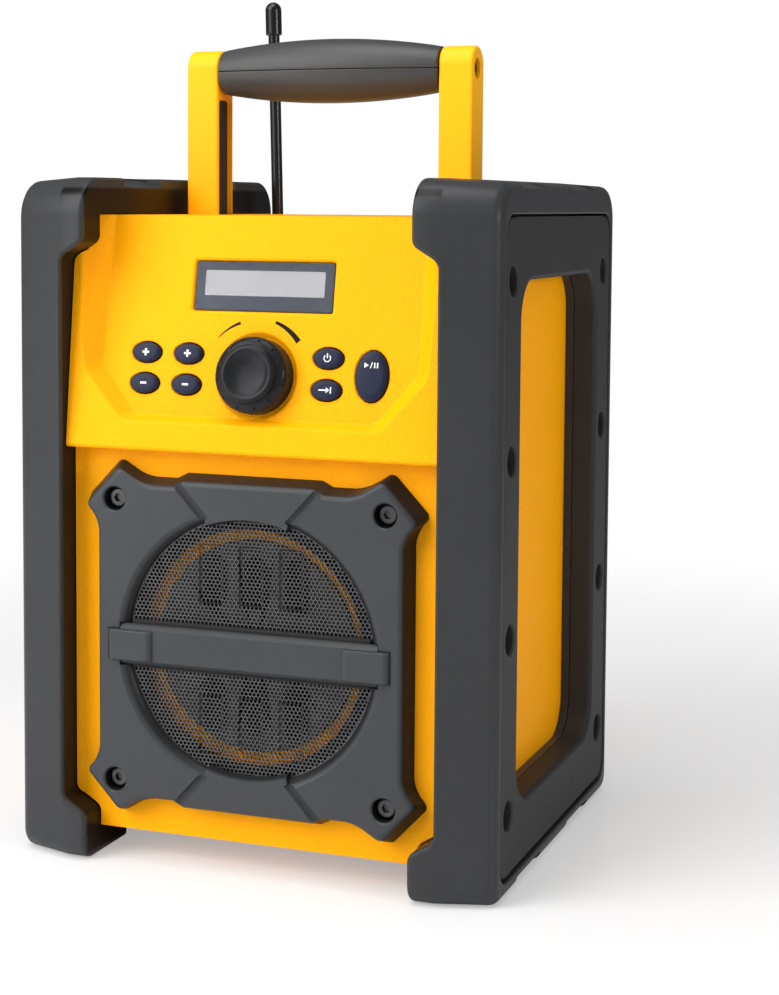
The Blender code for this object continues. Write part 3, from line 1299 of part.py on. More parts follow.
def build_antenna(pivot):
    """The whip with its eye, and the shoulder screw that it swings on, in a frame on the pivot."""
    tip_low = ANTENNA_LENGTH - TIP_LENGTH
    whip = turned(
        dome(TIP_RADIUS, ANTENNA_LENGTH - TIP_RADIUS, ANTENNA_LENGTH)
        + [
            (TIP_RADIUS, tip_low),
            (ROD_RADIUS, tip_low),
            (ROD_RADIUS, EYE_RADIUS / 2),
            (0.0, EYE_RADIUS / 2),
        ],
        SMALL_STEPS,
    )
    rod = part("antenna_rod", whip, "black_plastic", pivot)
    rod.rotation_euler = (0.0, ANTENNA_LEAN, 0.0)
    eye = turn_mesh(drum(EYE_RADIUS, -EYE_THICKNESS / 2, EYE_THICKNESS / 2, ROUND_STEPS), "X", 90)
    hole = turn_mesh(drum(PIVOT_RADIUS + GAP, -REACH, REACH, SMALL_STEPS), "X", 90)
    join(rod, tool("antenna_eye", eye, pivot))
    cut(rod, tool("antenna_hole", hole, pivot))
    shank = EYE_THICKNESS + GAP + HINGE_GAP + WALL + PIVOT_ENGAGED - GAP
    pin = screw_mesh(PIVOT_HEAD_RADIUS, PIVOT_HEAD_HEIGHT, PIVOT_RADIUS, shank, SMALL_STEPS)
    pin.transform(Matrix.Translation((0.0, 0.0, EYE_THICKNESS / 2 + GAP)))
    part("antenna_pivot", turn_mesh(pin, "X", -90), "black_steel", pivot)


def main():
    """Build the radio."""
    clear_scene()
    quarter = math.pi / 2
    base = anchor("radio", (0.0, 0.0, 0.0))
    front = anchor("front", (0.0, 0.0, 0.0), (quarter, 0.0, 0.0))
    speaker = anchor("speaker", (0.0, 0.0, SPEAKER_Z), (quarter, 0.0, 0.0))
    panel_place = (0.0, -HOUSING_Y - PANEL_PROUD, HOUSING_TOP - PANEL_DROP)
    panel = anchor("panel", panel_place, (quarter - PANEL_LEAN, 0.0, 0.0))
    right = anchor("right_side", (0.0, 0.0, 0.0), (quarter, 0.0, quarter))
    left = anchor("left_side", (0.0, 0.0, 0.0), (quarter, 0.0, -quarter))
    hinge = anchor("door_hinge", (0.0, DOOR_AXIS_Y, DOOR_AXIS_Z))
    pivot = anchor("antenna_swing", (ANTENNA_X, ANTENNA_Y, ANTENNA_Z))
    sides = ((right, 1), (left, -1))

    for side, facing in sides:
        build_bumper(side.name.replace("side", "bumper"), side, facing)
        build_side_plate(side.name + "_plate", side)
    build_front_housing(front, panel, speaker, sides)
    build_rear_housing(base, sides)
    build_controls(panel)
    build_speaker_front(speaker)
    build_driver(speaker)
    build_handle(base, sides)
    build_battery(base)
    build_door(hinge)
    build_main_board(base)
    build_antenna(pivot)


main()
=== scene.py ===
"""Looks of a rugged portable radio: yellow housing, black bumpers, round speaker and carrying handle.

Units are metres, +Z is up and the front faces -Y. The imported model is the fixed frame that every
piece rides on.
"""

import logging
import math
from contextlib import contextmanager
from dataclasses import dataclass, field
from enum import Enum
from typing import Any, Callable, Iterator, Mapping, Optional, Sequence, Union

import bmesh
import bpy
from mathutils import Matrix, Vector


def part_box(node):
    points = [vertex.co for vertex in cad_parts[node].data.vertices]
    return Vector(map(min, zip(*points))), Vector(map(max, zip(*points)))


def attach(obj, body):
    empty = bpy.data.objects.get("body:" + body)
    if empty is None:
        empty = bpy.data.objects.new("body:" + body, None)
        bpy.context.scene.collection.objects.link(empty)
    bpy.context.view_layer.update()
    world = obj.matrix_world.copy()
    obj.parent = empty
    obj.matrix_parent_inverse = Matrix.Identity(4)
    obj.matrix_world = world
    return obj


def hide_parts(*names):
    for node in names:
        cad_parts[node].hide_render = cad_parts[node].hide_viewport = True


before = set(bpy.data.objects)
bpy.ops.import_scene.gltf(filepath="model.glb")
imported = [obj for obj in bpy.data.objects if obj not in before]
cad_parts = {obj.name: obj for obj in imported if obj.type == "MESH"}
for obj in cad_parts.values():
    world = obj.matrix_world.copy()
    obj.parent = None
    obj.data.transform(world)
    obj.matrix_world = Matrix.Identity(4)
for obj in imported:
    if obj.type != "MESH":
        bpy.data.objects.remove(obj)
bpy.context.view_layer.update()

LOG = logging.getLogger("portable_radio")

MM = 0.001
NEAR = 0.02 * MM
GAP = 0.3 * MM
REACH = 30 * MM
SMOOTH = math.radians(35)
FINE = 96
ROUND = 40
SMALL = 32
HEXAGON = 6

Point = Sequence[float]
Colour = tuple[float, float, float]
Test = Callable[[Any], bool]


def mm(*lengths: float) -> tuple[float, ...]:
    """Lengths that are given in millimetres."""
    return tuple(length * MM for length in lengths)


def shift(x: float, y: float, z: float = 0.0) -> Matrix:
    """A move without a turn."""
    return Matrix.Translation((x, y, z))


def axes(across: Point, up: Point, origin: Point = (0.0, 0.0, 0.0)) -> Matrix:
    """Make the frame of a sub-assembly.

    Args:
        across: Direction of its X axis.
        up: Direction of its Y axis.
        origin: Where its zero lies.

    Returns:
        The matrix from that frame to the radio's.
    """
    x = Vector(across).normalized()
    y = Vector(up).normalized()
    matrix = Matrix((x, y, x.cross(y))).transposed().to_4x4()
    matrix.translation = origin
    return matrix


PANEL_LEAN = math.radians(10.5)
PANEL = axes((1, 0, 0), (0, math.sin(PANEL_LEAN), math.cos(PANEL_LEAN)), mm(0, -68.5, 174))
FRONT = axes((1, 0, 0), (0, 0, 1))
SPEAKER = axes((1, 0, 0), (0, 0, 1), mm(0, 0, 79.2))
REAR = axes((-1, 0, 0), (0, 0, 1))
RIGHT = axes((0, 1, 0), (0, 0, 1))
LEFT = axes((0, -1, 0), (0, 0, 1))
PLAN = axes((1, 0, 0), (0, -1, 0))
MIRROR = Matrix.Diagonal((-1, 1, 1, 1))


class Kind(Enum):
    """What a selection in edit mode holds."""

    VERTS = "VERT"
    EDGES = "EDGE"
    FACES = "FACE"


class Drive(Enum):
    """The recess in a screw's head."""

    HEX = "hex"
    CROSS = "cross"
    COIN = "coin"


class Symbol(Enum):
    """What is printed on a key."""

    PLUS = "plus"
    MINUS = "minus"
    POWER = "power"
    SOURCE = "source"
    PLAY = "play"


def middle(item: Any) -> Vector:
    """The middle of an edge or a face."""
    return sum((corner.co for corner in item.verts), Vector()) / len(item.verts)


def sharp(edge: bmesh.types.BMEdge, degrees: float = 40.0) -> bool:
    """Whether the faces at an edge meet at more than an angle."""
    return len(edge.link_faces) == 2 and edge.calc_face_angle() > math.radians(degrees)


def runs_along(edge: bmesh.types.BMEdge, axis: int) -> bool:
    """Whether an edge lies along one axis."""
    span = edge.verts[1].co - edge.verts[0].co
    return abs(span[axis]) > 0.999 * span.length


def near(value: float, target: float) -> bool:
    """Whether two lengths agree."""
    return abs(value - target) < NEAR


def arc(radius: float, start: float, end: float, steps: int, rise: float = 0.0) -> list[Point]:
    """Points along an arc from one angle in degrees to another, round a centre that may lie higher."""
    angles = [math.radians(start + (end - start) * step / steps) for step in range(steps + 1)]
    return [(radius * math.cos(angle), rise + radius * math.sin(angle)) for angle in angles]


def both_sides(right_half: Sequence[Point]) -> list[Point]:
    """A closed outline from its right half, listed from the bottom up."""
    return list(right_half) + [(-x, y) for x, y in reversed(right_half)]


class Piece:
    """One mesh object, shaped with the tools that a modeller uses by hand."""

    def __init__(self, thing: bpy.types.Object) -> None:
        """Hold a mesh object."""
        self.thing = thing

    @classmethod
    def added(cls, name: str, primitive: Callable[..., Any], **settings: Any) -> "Piece":
        """Add a primitive and put its place into its mesh.

        Args:
            name: Name of the piece.
            primitive: The operator that adds it.
            settings: The operator's settings.

        Returns:
            The new piece.
        """
        bpy.ops.object.select_all(action="DESELECT")
        primitive(**settings)
        piece = cls(bpy.context.object).called(name)
        bpy.ops.object.transform_apply(location=True, rotation=True, scale=True)
        return piece

    @classmethod
    def box(cls, name: str, low: Point, high: Point) -> "Piece":
        """Start from a cube between two corners."""
        place, size = (Vector(high) + Vector(low)) / 2, Vector(high) - Vector(low)
        return cls.added(name, bpy.ops.mesh.primitive_cube_add, size=1.0, location=place, scale=size)

    @classmethod
    def chain(cls, name: str, points: Sequence[Point]) -> "Piece":
        """Start from one point and extrude it from place to place.

        Args:
            name: Name of the piece.
            points: Places in space, in order.

        Returns:
            The new piece, a line of edges.
        """
        piece = cls.added(name, bpy.ops.mesh.primitive_plane_add, size=MM, location=(0.0, 0.0, 0.0))
        with piece.editing():
            bpy.ops.mesh.select_mode(type="VERT")
            bpy.ops.mesh.select_all(action="SELECT")
            bpy.ops.mesh.merge(type="CENTER")
            bpy.ops.transform.translate(value=points[0])
            for here, there in zip(points, points[1:]):
                step = Vector(there) - Vector(here)
                bpy.ops.mesh.extrude_region_move(TRANSFORM_OT_translate={"value": step})
        return piece

    @classmethod
    def slab(
        cls,
        name: str,
        corners: Sequence[Point],
        low: float,
        high: float,
        rounds: Optional[Mapping[float, Sequence[int]]] = None,
    ) -> "Piece":
        """Trace a flat outline, round its corners, fill it and raise it along Z.

        Args:
            name: Name of the piece.
            corners: Corners of the outline.
            low: Height of the outline.
            high: Height that it is raised to.
            rounds: For each rounding, the numbers of the corners that get it.

        Returns:
            The new piece.
        """
        piece = cls.chain(name, [(x, y, low) for x, y in corners])

        def at(numbers: Sequence[int]) -> Test:
            """A test for the vertices at some corners."""
            places = [Vector((*corners[number], low)) for number in numbers]
            return lambda v: any((v.co - place).length < NEAR for place in places)

        with piece.editing():
            piece.pick(Kind.VERTS, at((0, -1)))
            bpy.ops.mesh.edge_face_add()
            bpy.ops.mesh.select_all(action="SELECT")
            bpy.ops.mesh.edge_face_add()
            for offset, numbers in (rounds or {}).items():
                piece.pick(Kind.VERTS, at(numbers))
                bpy.ops.mesh.bevel(offset=offset, segments=6, affect="VERTICES", clamp_overlap=False)
            bpy.ops.mesh.select_all(action="SELECT")
            bpy.ops.mesh.extrude_region_move(TRANSFORM_OT_translate={"value": (0.0, 0.0, high - low)})
            piece.mend()
        return piece

    @classmethod
    def turned(cls, name: str, profile: Sequence[Point], steps: int = 48, closed: bool = False) -> "Piece":
        """Spin a profile round Z.

        Args:
            name: Name of the piece.
            profile: (radius, height) points.
            steps: Number of stretches round the axis.
            closed: Whether the profile's end joins its start.

        Returns:
            The new piece.
        """
        points = [(radius, 0.0, height) for radius, height in profile]
        piece = cls.chain(name, points + points[:1] if closed else points)
        with piece.editing():
            bpy.ops.mesh.select_all(action="SELECT")
            bpy.ops.mesh.spin(steps=steps, angle=2 * math.pi, center=(0, 0, 0), axis=(0, 0, 1))
            piece.mend()
        return piece

    @classmethod
    def rod(cls, name: str, radius: float, low: float, high: float, steps: int) -> "Piece":
        """Start from a plain bar along Z, round or with a few sides."""
        return cls.turned(name, [(0, high), (radius, high), (radius, low), (0, low)], steps)

    @classmethod
    def hole(cls, name: str, face: float, edge: float, *bores: Point, steps: int = ROUND) -> "Piece":
        """Start from the shape of a stepped hole with a broken edge.

        Args:
            name: Name of the piece.
            face: Height of the face that it is sunk into.
            edge: Width of the broken edge.
            bores: (radius, floor) of each bore, the widest first.
            steps: Number of stretches round the axis.

        Returns:
            The new piece.
        """
        wide = bores[0][0]
        profile = [(0.0, face + MM), (wide + edge, face + MM), (wide + edge, face), (wide, face - edge)]
        narrower = [radius for radius, _ in bores[1:]] + [0.0]
        for (radius, floor), inner in zip(bores, narrower):
            profile += [(radius, floor), (inner, floor)]
        return cls.turned(name, profile, steps)

    def called(self, name: str) -> "Piece":
        """Name the object and its mesh."""
        self.thing.name = self.thing.data.name = name
        return self

    def activate(self) -> None:
        """Make this the one selected object."""
        bpy.ops.object.select_all(action="DESELECT")
        self.thing.select_set(True)
        bpy.context.view_layer.objects.active = self.thing

    @contextmanager
    def editing(self) -> Iterator[None]:
        """Work on the mesh in edit mode.

        Yields:
            Nothing; the mesh is open for edits until the block ends.
        """
        self.activate()
        bpy.ops.object.mode_set(mode="EDIT")
        yield
        bpy.ops.object.mode_set(mode="OBJECT")

    def mend(self) -> None:
        """Merge doubles and turn the faces outwards, in edit mode."""
        bpy.ops.mesh.select_all(action="SELECT")
        bpy.ops.mesh.remove_doubles(threshold=0.1 * NEAR)
        bpy.ops.mesh.normals_make_consistent(inside=False)

    def pick(self, kind: Kind, test: Test) -> None:
        """Select, in edit mode, what passes a test and nothing else.

        Args:
            kind: What is looked through.
            test: Says whether a vertex, edge or face is taken.
        """
        bpy.ops.mesh.select_mode(type=kind.value)
        bpy.ops.mesh.select_all(action="DESELECT")
        shape = bmesh.from_edit_mesh(self.thing.data)
        items = {Kind.VERTS: shape.verts, Kind.EDGES: shape.edges, Kind.FACES: shape.faces}[kind]
        found = [item for item in items if test(item)]
        if not found:
            raise ValueError(f"{self.thing.name}: nothing to select")
        for item in found:
            item.select_set(True)
        shape.select_flush_mode()
        bmesh.update_edit_mesh(self.thing.data)

    def edit(self, kind: Kind, test: Test, operator: Callable[..., Any], **settings: Any) -> "Piece":
        """Run one operator on what passes a test.

        Args:
            kind: What is looked through.
            test: Says whether a vertex, edge or face is taken.
            operator: The operator.
            settings: The operator's settings.

        Returns:
            This piece.
        """
        with self.editing():
            self.pick(kind, test)
            operator(**settings)
        return self

    def soften(self, test: Test, width: float, steps: int = 3) -> "Piece":
        """Round the edges that pass a test."""
        settings = {"offset": width, "segments": steps, "affect": "EDGES", "clamp_overlap": False}
        return self.edit(Kind.EDGES, test, bpy.ops.mesh.bevel, **settings)

    def spread(self, test: Test, factors: Point, centre: Point = (0.0, 0.0, 0.0)) -> "Piece":
        """Scale the vertices that pass a test about a centre."""
        return self.edit(Kind.VERTS, test, bpy.ops.transform.resize, value=factors, center_override=centre)

    def slice(self, place: Point, normal: Point, **settings: Any) -> "Piece":
        """Cut the mesh along a plane."""
        settings |= {"plane_co": place, "plane_no": normal, "threshold": 0.1 * NEAR}
        return self.edit(Kind.FACES, lambda f: True, bpy.ops.mesh.bisect, **settings)

    def place(self, matrix: Matrix) -> "Piece":
        """Move the mesh from its sub-assembly's frame to the radio's.

        Args:
            matrix: The sub-assembly's frame.

        Returns:
            This piece.
        """
        self.activate()
        self.thing.matrix_world = matrix
        bpy.ops.object.transform_apply(location=True, rotation=True, scale=True)
        if matrix.determinant() < 0:
            with self.editing():
                self.mend()
        return self

    def copy(self, name: str) -> "Piece":
        """Make a copy with its own mesh.

        Args:
            name: Name of the copy.

        Returns:
            The copy.
        """
        self.activate()
        bpy.ops.object.duplicate(linked=False)
        return Piece(bpy.context.object).called(name)

    def remove(self) -> None:
        """Take the object out of the scene."""
        bpy.data.objects.remove(self.thing, do_unlink=True)

    def apply(self, kind: str, **settings: Any) -> "Piece":
        """Add a modifier and apply it at once.

        Args:
            kind: Type of the modifier.
            settings: Its properties.

        Returns:
            This piece.
        """
        self.activate()
        step = self.thing.modifiers.new(kind.lower(), kind)
        for key, value in settings.items():
            setattr(step, key, value)
        bpy.ops.object.modifier_apply(modifier=step.name)
        return self

    def combine(self, operation: str, tools: Sequence["Piece"]) -> "Piece":
        """Apply a Boolean with each tool, and remove the tools.

        Args:
            operation: Type of the Boolean.
            tools: The other shapes.

        Returns:
            This piece.
        """
        for tool in tools:
            self.apply("BOOLEAN", operation=operation, object=tool.thing, solver="EXACT")
            tool.remove()
        return self

    def cut(self, *tools: "Piece") -> "Piece":
        """Take the tools' shapes away."""
        return self.combine("DIFFERENCE", tools)

    def weld(self, *tools: "Piece") -> "Piece":
        """Add the tools' shapes."""
        return self.combine("UNION", tools)

    def keep(self, *tools: "Piece") -> "Piece":
        """Keep what lies inside the tools' shapes."""
        return self.combine("INTERSECT", tools)

    def cut_at(self, tool: "Piece", places: Sequence[Matrix]) -> "Piece":
        """Take one tool's shape away at several places, and remove the tool.

        Args:
            tool: The shape, in its own frame.
            places: Where it is taken away.

        Returns:
            This piece.
        """
        self.cut(*[tool.copy(f"{tool.thing.name}_cut").place(place) for place in places])
        tool.remove()
        return self

    def gather(self, *others: "Piece") -> "Piece":
        """Join other meshes to this one as they are.

        Args:
            others: The pieces that become part of this one.

        Returns:
            This piece.
        """
        self.activate()
        for other in others:
            other.thing.select_set(True)
        bpy.ops.object.join()
        return self

    def dress(
        self, finish: "Finish", body: str = "radio", node: Optional[str] = None, slot: Optional[str] = None
    ) -> None:
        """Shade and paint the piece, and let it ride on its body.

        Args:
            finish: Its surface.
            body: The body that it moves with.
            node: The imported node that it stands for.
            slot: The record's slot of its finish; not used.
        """
        self.activate()
        self.thing.data.materials.clear()
        self.thing.data.materials.append(finish.material())
        bpy.ops.object.shade_smooth_by_angle(angle=SMOOTH)
        self.apply("WEIGHTED_NORMAL", keep_sharp=True)
        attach(self.thing, body)
        if node is not None:
            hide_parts(node)
        LOG.info("%s rides on %s, %d faces", self.thing.name, body, len(self.thing.data.polygons))

    def dress_both(self, finish: "Finish", name: str, slot: str, packed: bool = True) -> None:
        """Dress this right-hand piece and its mirror image on the left.

        Args:
            finish: Their surface.
            name: Their name without the side.
            slot: The record's slot of their finish.
            packed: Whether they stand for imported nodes.
        """
        left = self.copy(f"left_{name}").place(MIRROR)
        for side, piece in (("right", self), ("left", left)):
            piece.dress(finish, node=f"{side}_{name}" if packed else None, slot=slot)


class Signal:
    """A value, colour or direction on its way through a material's nodes."""

    def __init__(self, graph: "Graph", socket: bpy.types.NodeSocket) -> None:
        """Hold an output socket of a graph."""
        self.graph = graph
        self.socket = socket

    def math(self, operation: str, left: "Operand", right: "Operand") -> "Signal":
        """Add a Math node."""
        return self.graph.node("ShaderNodeMath", {"operation": operation}, {0: left, 1: right})

    def __add__(self, other: "Operand") -> "Signal":
        """Sum."""
        return self.math("ADD", self, other)

    def __radd__(self, other: "Operand") -> "Signal":
        """Sum, from the right."""
        return self.math("ADD", other, self)

    def __sub__(self, other: "Operand") -> "Signal":
        """Difference."""
        return self.math("SUBTRACT", self, other)

    def __rsub__(self, other: "Operand") -> "Signal":
        """Difference, from the right."""
        return self.math("SUBTRACT", other, self)

    def __mul__(self, other: "Operand") -> "Signal":
        """Product."""
        return self.math("MULTIPLY", self, other)

    def __rmul__(self, other: "Operand") -> "Signal":
        """Product, from the right."""
        return self.math("MULTIPLY", other, self)

    def __truediv__(self, other: "Operand") -> "Signal":
        """Quotient."""
        return self.math("DIVIDE", self, other)

    def __rtruediv__(self, other: "Operand") -> "Signal":
        """Quotient, from the right."""
        return self.math("DIVIDE", other, self)

    def __gt__(self, other: "Operand") -> "Signal":
        """One where this is the greater, else zero."""
        return self.math("GREATER_THAN", self, other)

    def __lt__(self, other: "Operand") -> "Signal":
        """One where this is the smaller, else zero."""
        return self.math("LESS_THAN", self, other)

    def __abs__(self) -> "Signal":
        """Size without sign."""
        return self.math("ABSOLUTE", self, 0.0)

    def __mod__(self, other: "Operand") -> "Signal":
        """What is left over after whole steps, never negative."""
        return self.math("FLOORED_MODULO", self, other)

    def __rmod__(self, other: "Operand") -> "Signal":
        """What is left over, from the right."""
        return self.math("FLOORED_MODULO", other, self)

    def least(self, other: "Operand") -> "Signal":
        """The smaller of two."""
        return self.math("MINIMUM", self, other)

    def ramp(self, low: float = 0.3, high: float = 0.7) -> "Signal":
        """Zero up to one value, one from another, and smooth between them."""
        settings = {"interpolation_type": "SMOOTHSTEP"}
        return self.graph.node("ShaderNodeMapRange", settings, {0: self, 1: low, 2: high})


Operand = Union[Signal, float]
Signals = dict[str, Signal]


class Graph:
    """The nodes of one material or of the world."""

    def __init__(self, tree: bpy.types.NodeTree) -> None:
        """Hold a node tree."""
        self.tree = tree

    def node(
        self,
        kind: str,
        settings: Optional[Mapping[str, Any]] = None,
        values: Optional[Mapping[Union[str, int], Any]] = None,
        output: Union[str, int] = 0,
    ) -> Signal:
        """Add a node.

        Args:
            kind: Type of the node.
            settings: Its properties, which are set first.
            values: Numbers, colours or signals for its sockets.
            output: The socket that is used.

        Returns:
            The signal from that socket.
        """
        made = self.tree.nodes.new(kind)
        for key, setting in (settings or {}).items():
            setattr(made, key, setting)
        for key, value in (values or {}).items():
            if isinstance(value, Signal):
                self.tree.links.new(value.socket, made.inputs[key])
            else:
                made.inputs[key].default_value = value
        return Signal(self, made.outputs[output])

    def place(self) -> Signal:
        """Where a point lies on the object."""
        return self.node("ShaderNodeTexCoord", output="Object")

    def parts(self) -> list[Signal]:
        """The three coordinates of a point on the object."""
        values = {0: self.place()}
        return [self.node("ShaderNodeSeparateXYZ", None, values, axis) for axis in range(3)]

    def noise(self, size: float, detail: float = 2.0, stretch: Point = (1.0, 1.0, 1.0)) -> Signal:
        """Soft random variation about one half.

        Args:
            size: Size of its patches.
            detail: How many finer layers it has.
            stretch: How much denser it is along each axis.

        Returns:
            The variation.
        """
        vector = self.node("ShaderNodeVectorMath", {"operation": "MULTIPLY"}, {0: self.place(), 1: stretch})
        values = {"Vector": vector, "Scale": 1.0 / size, "Detail": detail}
        return self.node("ShaderNodeTexNoise", None, values)

    def cells(self, size: float) -> Signal:
        """Distance to the nearest of many scattered points, for pebbled grain."""
        values = {"Vector": self.place(), "Scale": 1.0 / size}
        return self.node("ShaderNodeTexVoronoi", {"feature": "F1"}, values)

    def mix(self, share: Operand, first: Union[Signal, Colour], second: Union[Signal, Colour]) -> Signal:
        """Blend from the first colour at a share of zero to the second at one."""
        ends = [end if isinstance(end, Signal) else (*end, 1.0) for end in (first, second)]
        return self.node("ShaderNodeMix", {"data_type": "RGBA"}, {0: share, 6: ends[0], 7: ends[1]}, 2)

    def bump(self, height: Signal, distance: float) -> Signal:
        """A surface direction that follows a height."""
        return self.node("ShaderNodeBump", None, {"Height": height, "Distance": distance, "Strength": 1.0})


@dataclass(frozen=True)
class Finish:
    """A surface: its colour, gloss and what its nodes add to them."""

    name: str
    colour: Colour
    roughness: float = 0.5
    metallic: float = 0.0
    level: float = 0.5
    alpha: float = field(default=1.0, kw_only=True)
    spread: float = field(default=0.1, kw_only=True)

    def material(self) -> bpy.types.Material:
        """The finish as a material, made once.

        Returns:
            The material.
        """
        title = f"{self.name}_finish"
        made = bpy.data.materials.get(title)
        if made is None:
            made = bpy.data.materials.new(title)
            made.use_nodes = True
            shader = made.node_tree.nodes["Principled BSDF"]
            shader.inputs["Base Color"].default_value = (*self.colour, 1.0)
            shader.inputs["Roughness"].default_value = self.roughness
            shader.inputs["Metallic"].default_value = self.metallic
            shader.inputs["Specular IOR Level"].default_value = self.level
            shader.inputs["Alpha"].default_value = self.alpha
            for socket, signal in self.surface(Graph(made.node_tree)).items():
                made.node_tree.links.new(signal.socket, shader.inputs[socket])
        return made

    def surface(self, graph: Graph) -> Signals:
        """What varies over the surface, for the shader's sockets of those names."""
        raise NotImplementedError

    def gloss(self, *signals: Signal) -> Signal:
        """Roughness that follows signals about one half."""
        return sum(((signal - 0.5) * self.spread for signal in signals), self.roughness)

    def tinted(self, share: float) -> Colour:
        """The colour made darker or lighter."""
        return tuple(channel * share for channel in self.colour)


@dataclass(frozen=True)
class MouldedPlastic(Finish):
    """Plastic from a grained mould: fine pebbles, soft mottling and uneven gloss."""

    grain: float = 0.7 * MM
    depth: float = 0.05 * MM
    pebbled: float = 0.5
    mottle: float = 0.06
    patch: float = 35 * MM
    fleck: float = 3 * MM
    fleck_share: float = 0.4
    spread: float = field(default=0.12, kw_only=True)

    def surface(self, graph: Graph) -> Signals:
        """Grain as bump, with colour and gloss that follow it.

        Args:
            graph: The material's nodes.

        Returns:
            Signals for the shader's sockets.
        """
        soft = graph.noise(self.grain, 3.0)
        height = soft * (1.0 - self.pebbled) + graph.cells(self.grain) * self.pebbled
        fine = graph.noise(self.fleck, 3.0)
        patches = graph.noise(self.patch) * (1.0 - self.fleck_share)
        share = (patches + fine * self.fleck_share).ramp()
        colour = graph.mix(share, self.tinted(1.0 - self.mottle), self.tinted(1.0 + self.mottle))
        normal = graph.bump(height, self.depth)
        return {"Base Color": colour, "Roughness": self.gloss(fine, soft), "Normal": normal}


@dataclass(frozen=True)
class PaintedShadeMoulding(MouldedPlastic):
    """Moulded plastic with painted shade: darker inside a box, on the walls behind its face."""

    low: Point = (-1.0, -1.0, -1.0)
    high: Point = (1.0, 1.0, 1.0)
    painted_shade_share: float = 0.2
    fade: float = 1.2 * MM

    def surface(self, graph: Graph) -> Signals:
        """Grained plastic with painted shade, darker inside a box.

        Args:
            graph: The material's nodes.

        Returns:
            Signals for the shader's sockets.
        """
        signals = super().surface(graph)
        # Painted shade: the colour is darkened inside the box, on the walls behind the face.
        inside: Operand = 1.0
        for place, low, high in zip(graph.parts(), self.low, self.high):
            inside = place.ramp(low, low + self.fade) * inside * (1.0 - place.ramp(high - self.fade, high))
        signals["Base Color"] = graph.mix(inside, signals["Base Color"], self.tinted(self.painted_shade_share))
        return signals


@dataclass(frozen=True)
class PrintInk(Finish):
    """Pad-printed ink: thin, with a little speckle."""

    spread: float = field(default=0.15, kw_only=True)
    speck: float = 0.25 * MM
    faded: float = 0.88

    def surface(self, graph: Graph) -> Signals:
        """Speckled colour and gloss.

        Args:
            graph: The material's nodes.

        Returns:
            Signals for the shader's sockets.
        """
        specks = graph.noise(self.speck).ramp(0.35, 0.75)
        colour = graph.mix(specks, self.colour, self.tinted(self.faded))
        return {"Base Color": colour, "Roughness": self.gloss(specks)}


@dataclass(frozen=True)
class Metal(Finish):
    """Metal with drawn lines and faint handling marks."""

    line: float = 0.08 * MM
    stretch: Point = (1.0, 1.0, 12.0)
    depth: float = 0.004 * MM
    patch: float = 6 * MM
    worn: float = 0.82
    line_gloss: float = 0.16

    def surface(self, graph: Graph) -> Signals:
        """Drawn lines in gloss and height, with darker patches.

        Args:
            graph: The material's nodes.

        Returns:
            Signals for the shader's sockets.
        """
        lines = graph.noise(self.line, 2.0, self.stretch)
        patches = graph.noise(self.patch, 3.0).ramp(0.35)
        colour = graph.mix(patches, self.colour, self.tinted(self.worn))
        roughness = self.gloss(patches) + self.line_gloss * (lines - 0.5)
        return {"Base Color": colour, "Roughness": roughness, "Normal": graph.bump(lines, self.depth)}


@dataclass(frozen=True)
class ClearPane(Finish):
    """A clear cover: thin, glossy, with faint smears."""

    smear: float = 9 * MM
    stretch: Point = (1.0, 1.0, 2.5)

    def surface(self, graph: Graph) -> Signals:
        """Smeared gloss."""
        smears = graph.noise(self.smear, 3.0, self.stretch).ramp(0.35, 0.75)
        return {"Roughness": self.roughness + self.spread * smears}


@dataclass(frozen=True)
class LiquidCrystal(Finish):
    """A grey display that is off: clouded, with a faint grid of dots."""

    pitch: float = 0.62 * MM
    line: float = 0.1 * MM
    cloud: float = 16 * MM
    line_share: float = 0.16
    line_tint: float = 0.6
    cloud_tint: float = 0.93

    def surface(self, graph: Graph) -> Signals:
        """Dots between thin lines.

        Args:
            graph: The material's nodes.

        Returns:
            Signals for the shader's sockets.
        """
        across, _, up = graph.parts()
        lines = ((across % self.pitch) < self.line) + ((up % self.pitch) < self.line)
        clouds = graph.noise(self.cloud).ramp()
        base = graph.mix(clouds, self.colour, self.tinted(self.cloud_tint))
        colour = graph.mix(lines.least(1.0) * self.line_share, base, self.tinted(self.line_tint))
        return {"Base Color": colour, "Roughness": self.roughness + self.spread * clouds}


@dataclass(frozen=True)
class PressedPaper(Finish):
    """Pressed paper or rubberised foam, with fibres."""

    fibre: float = 0.5 * MM
    stretch: Point = (1.0, 1.0, 4.0)
    depth: float = 0.05 * MM
    dark: float = 0.7
    light: float = 1.5

    def surface(self, graph: Graph) -> Signals:
        """Fibres in colour, gloss and height.

        Args:
            graph: The material's nodes.

        Returns:
            Signals for the shader's sockets.
        """
        fibres = graph.noise(self.fibre, 4.0, self.stretch)
        colour = graph.mix(fibres.ramp(), self.tinted(self.dark), self.tinted(self.light))
        normal = graph.bump(fibres, self.depth)
        return {"Base Color": colour, "Roughness": self.gloss(fibres), "Normal": normal}


@dataclass(frozen=True)
class SolderMask(Finish):
    """A circuit board with tracks, whose sockets at the rear are black."""

    track: float = 2.2 * MM
    track_share: float = 0.16
    wander: float = 8 * MM
    bend: float = 9 * MM
    depth: float = 0.03 * MM
    copper: Colour = (0.05, 0.24, 0.11)
    socket_colour: Colour = (0.012, 0.012, 0.013)
    socket_start: float = 52 * MM

    def surface(self, graph: Graph) -> Signals:
        """Tracks under the mask, and black sockets.

        Args:
            graph: The material's nodes.

        Returns:
            Signals for the shader's sockets.
        """
        _, along, up = graph.parts()
        path = up + along + graph.noise(self.bend, 1.0) * self.wander
        rows = abs(path % self.track - self.track / 2) < self.track * self.track_share
        board = graph.mix(rows, self.colour, self.copper)
        colour = graph.mix(along > self.socket_start, board, self.socket_colour)
        return {"Base Color": colour, "Roughness": self.gloss(rows), "Normal": graph.bump(rows, self.depth)}


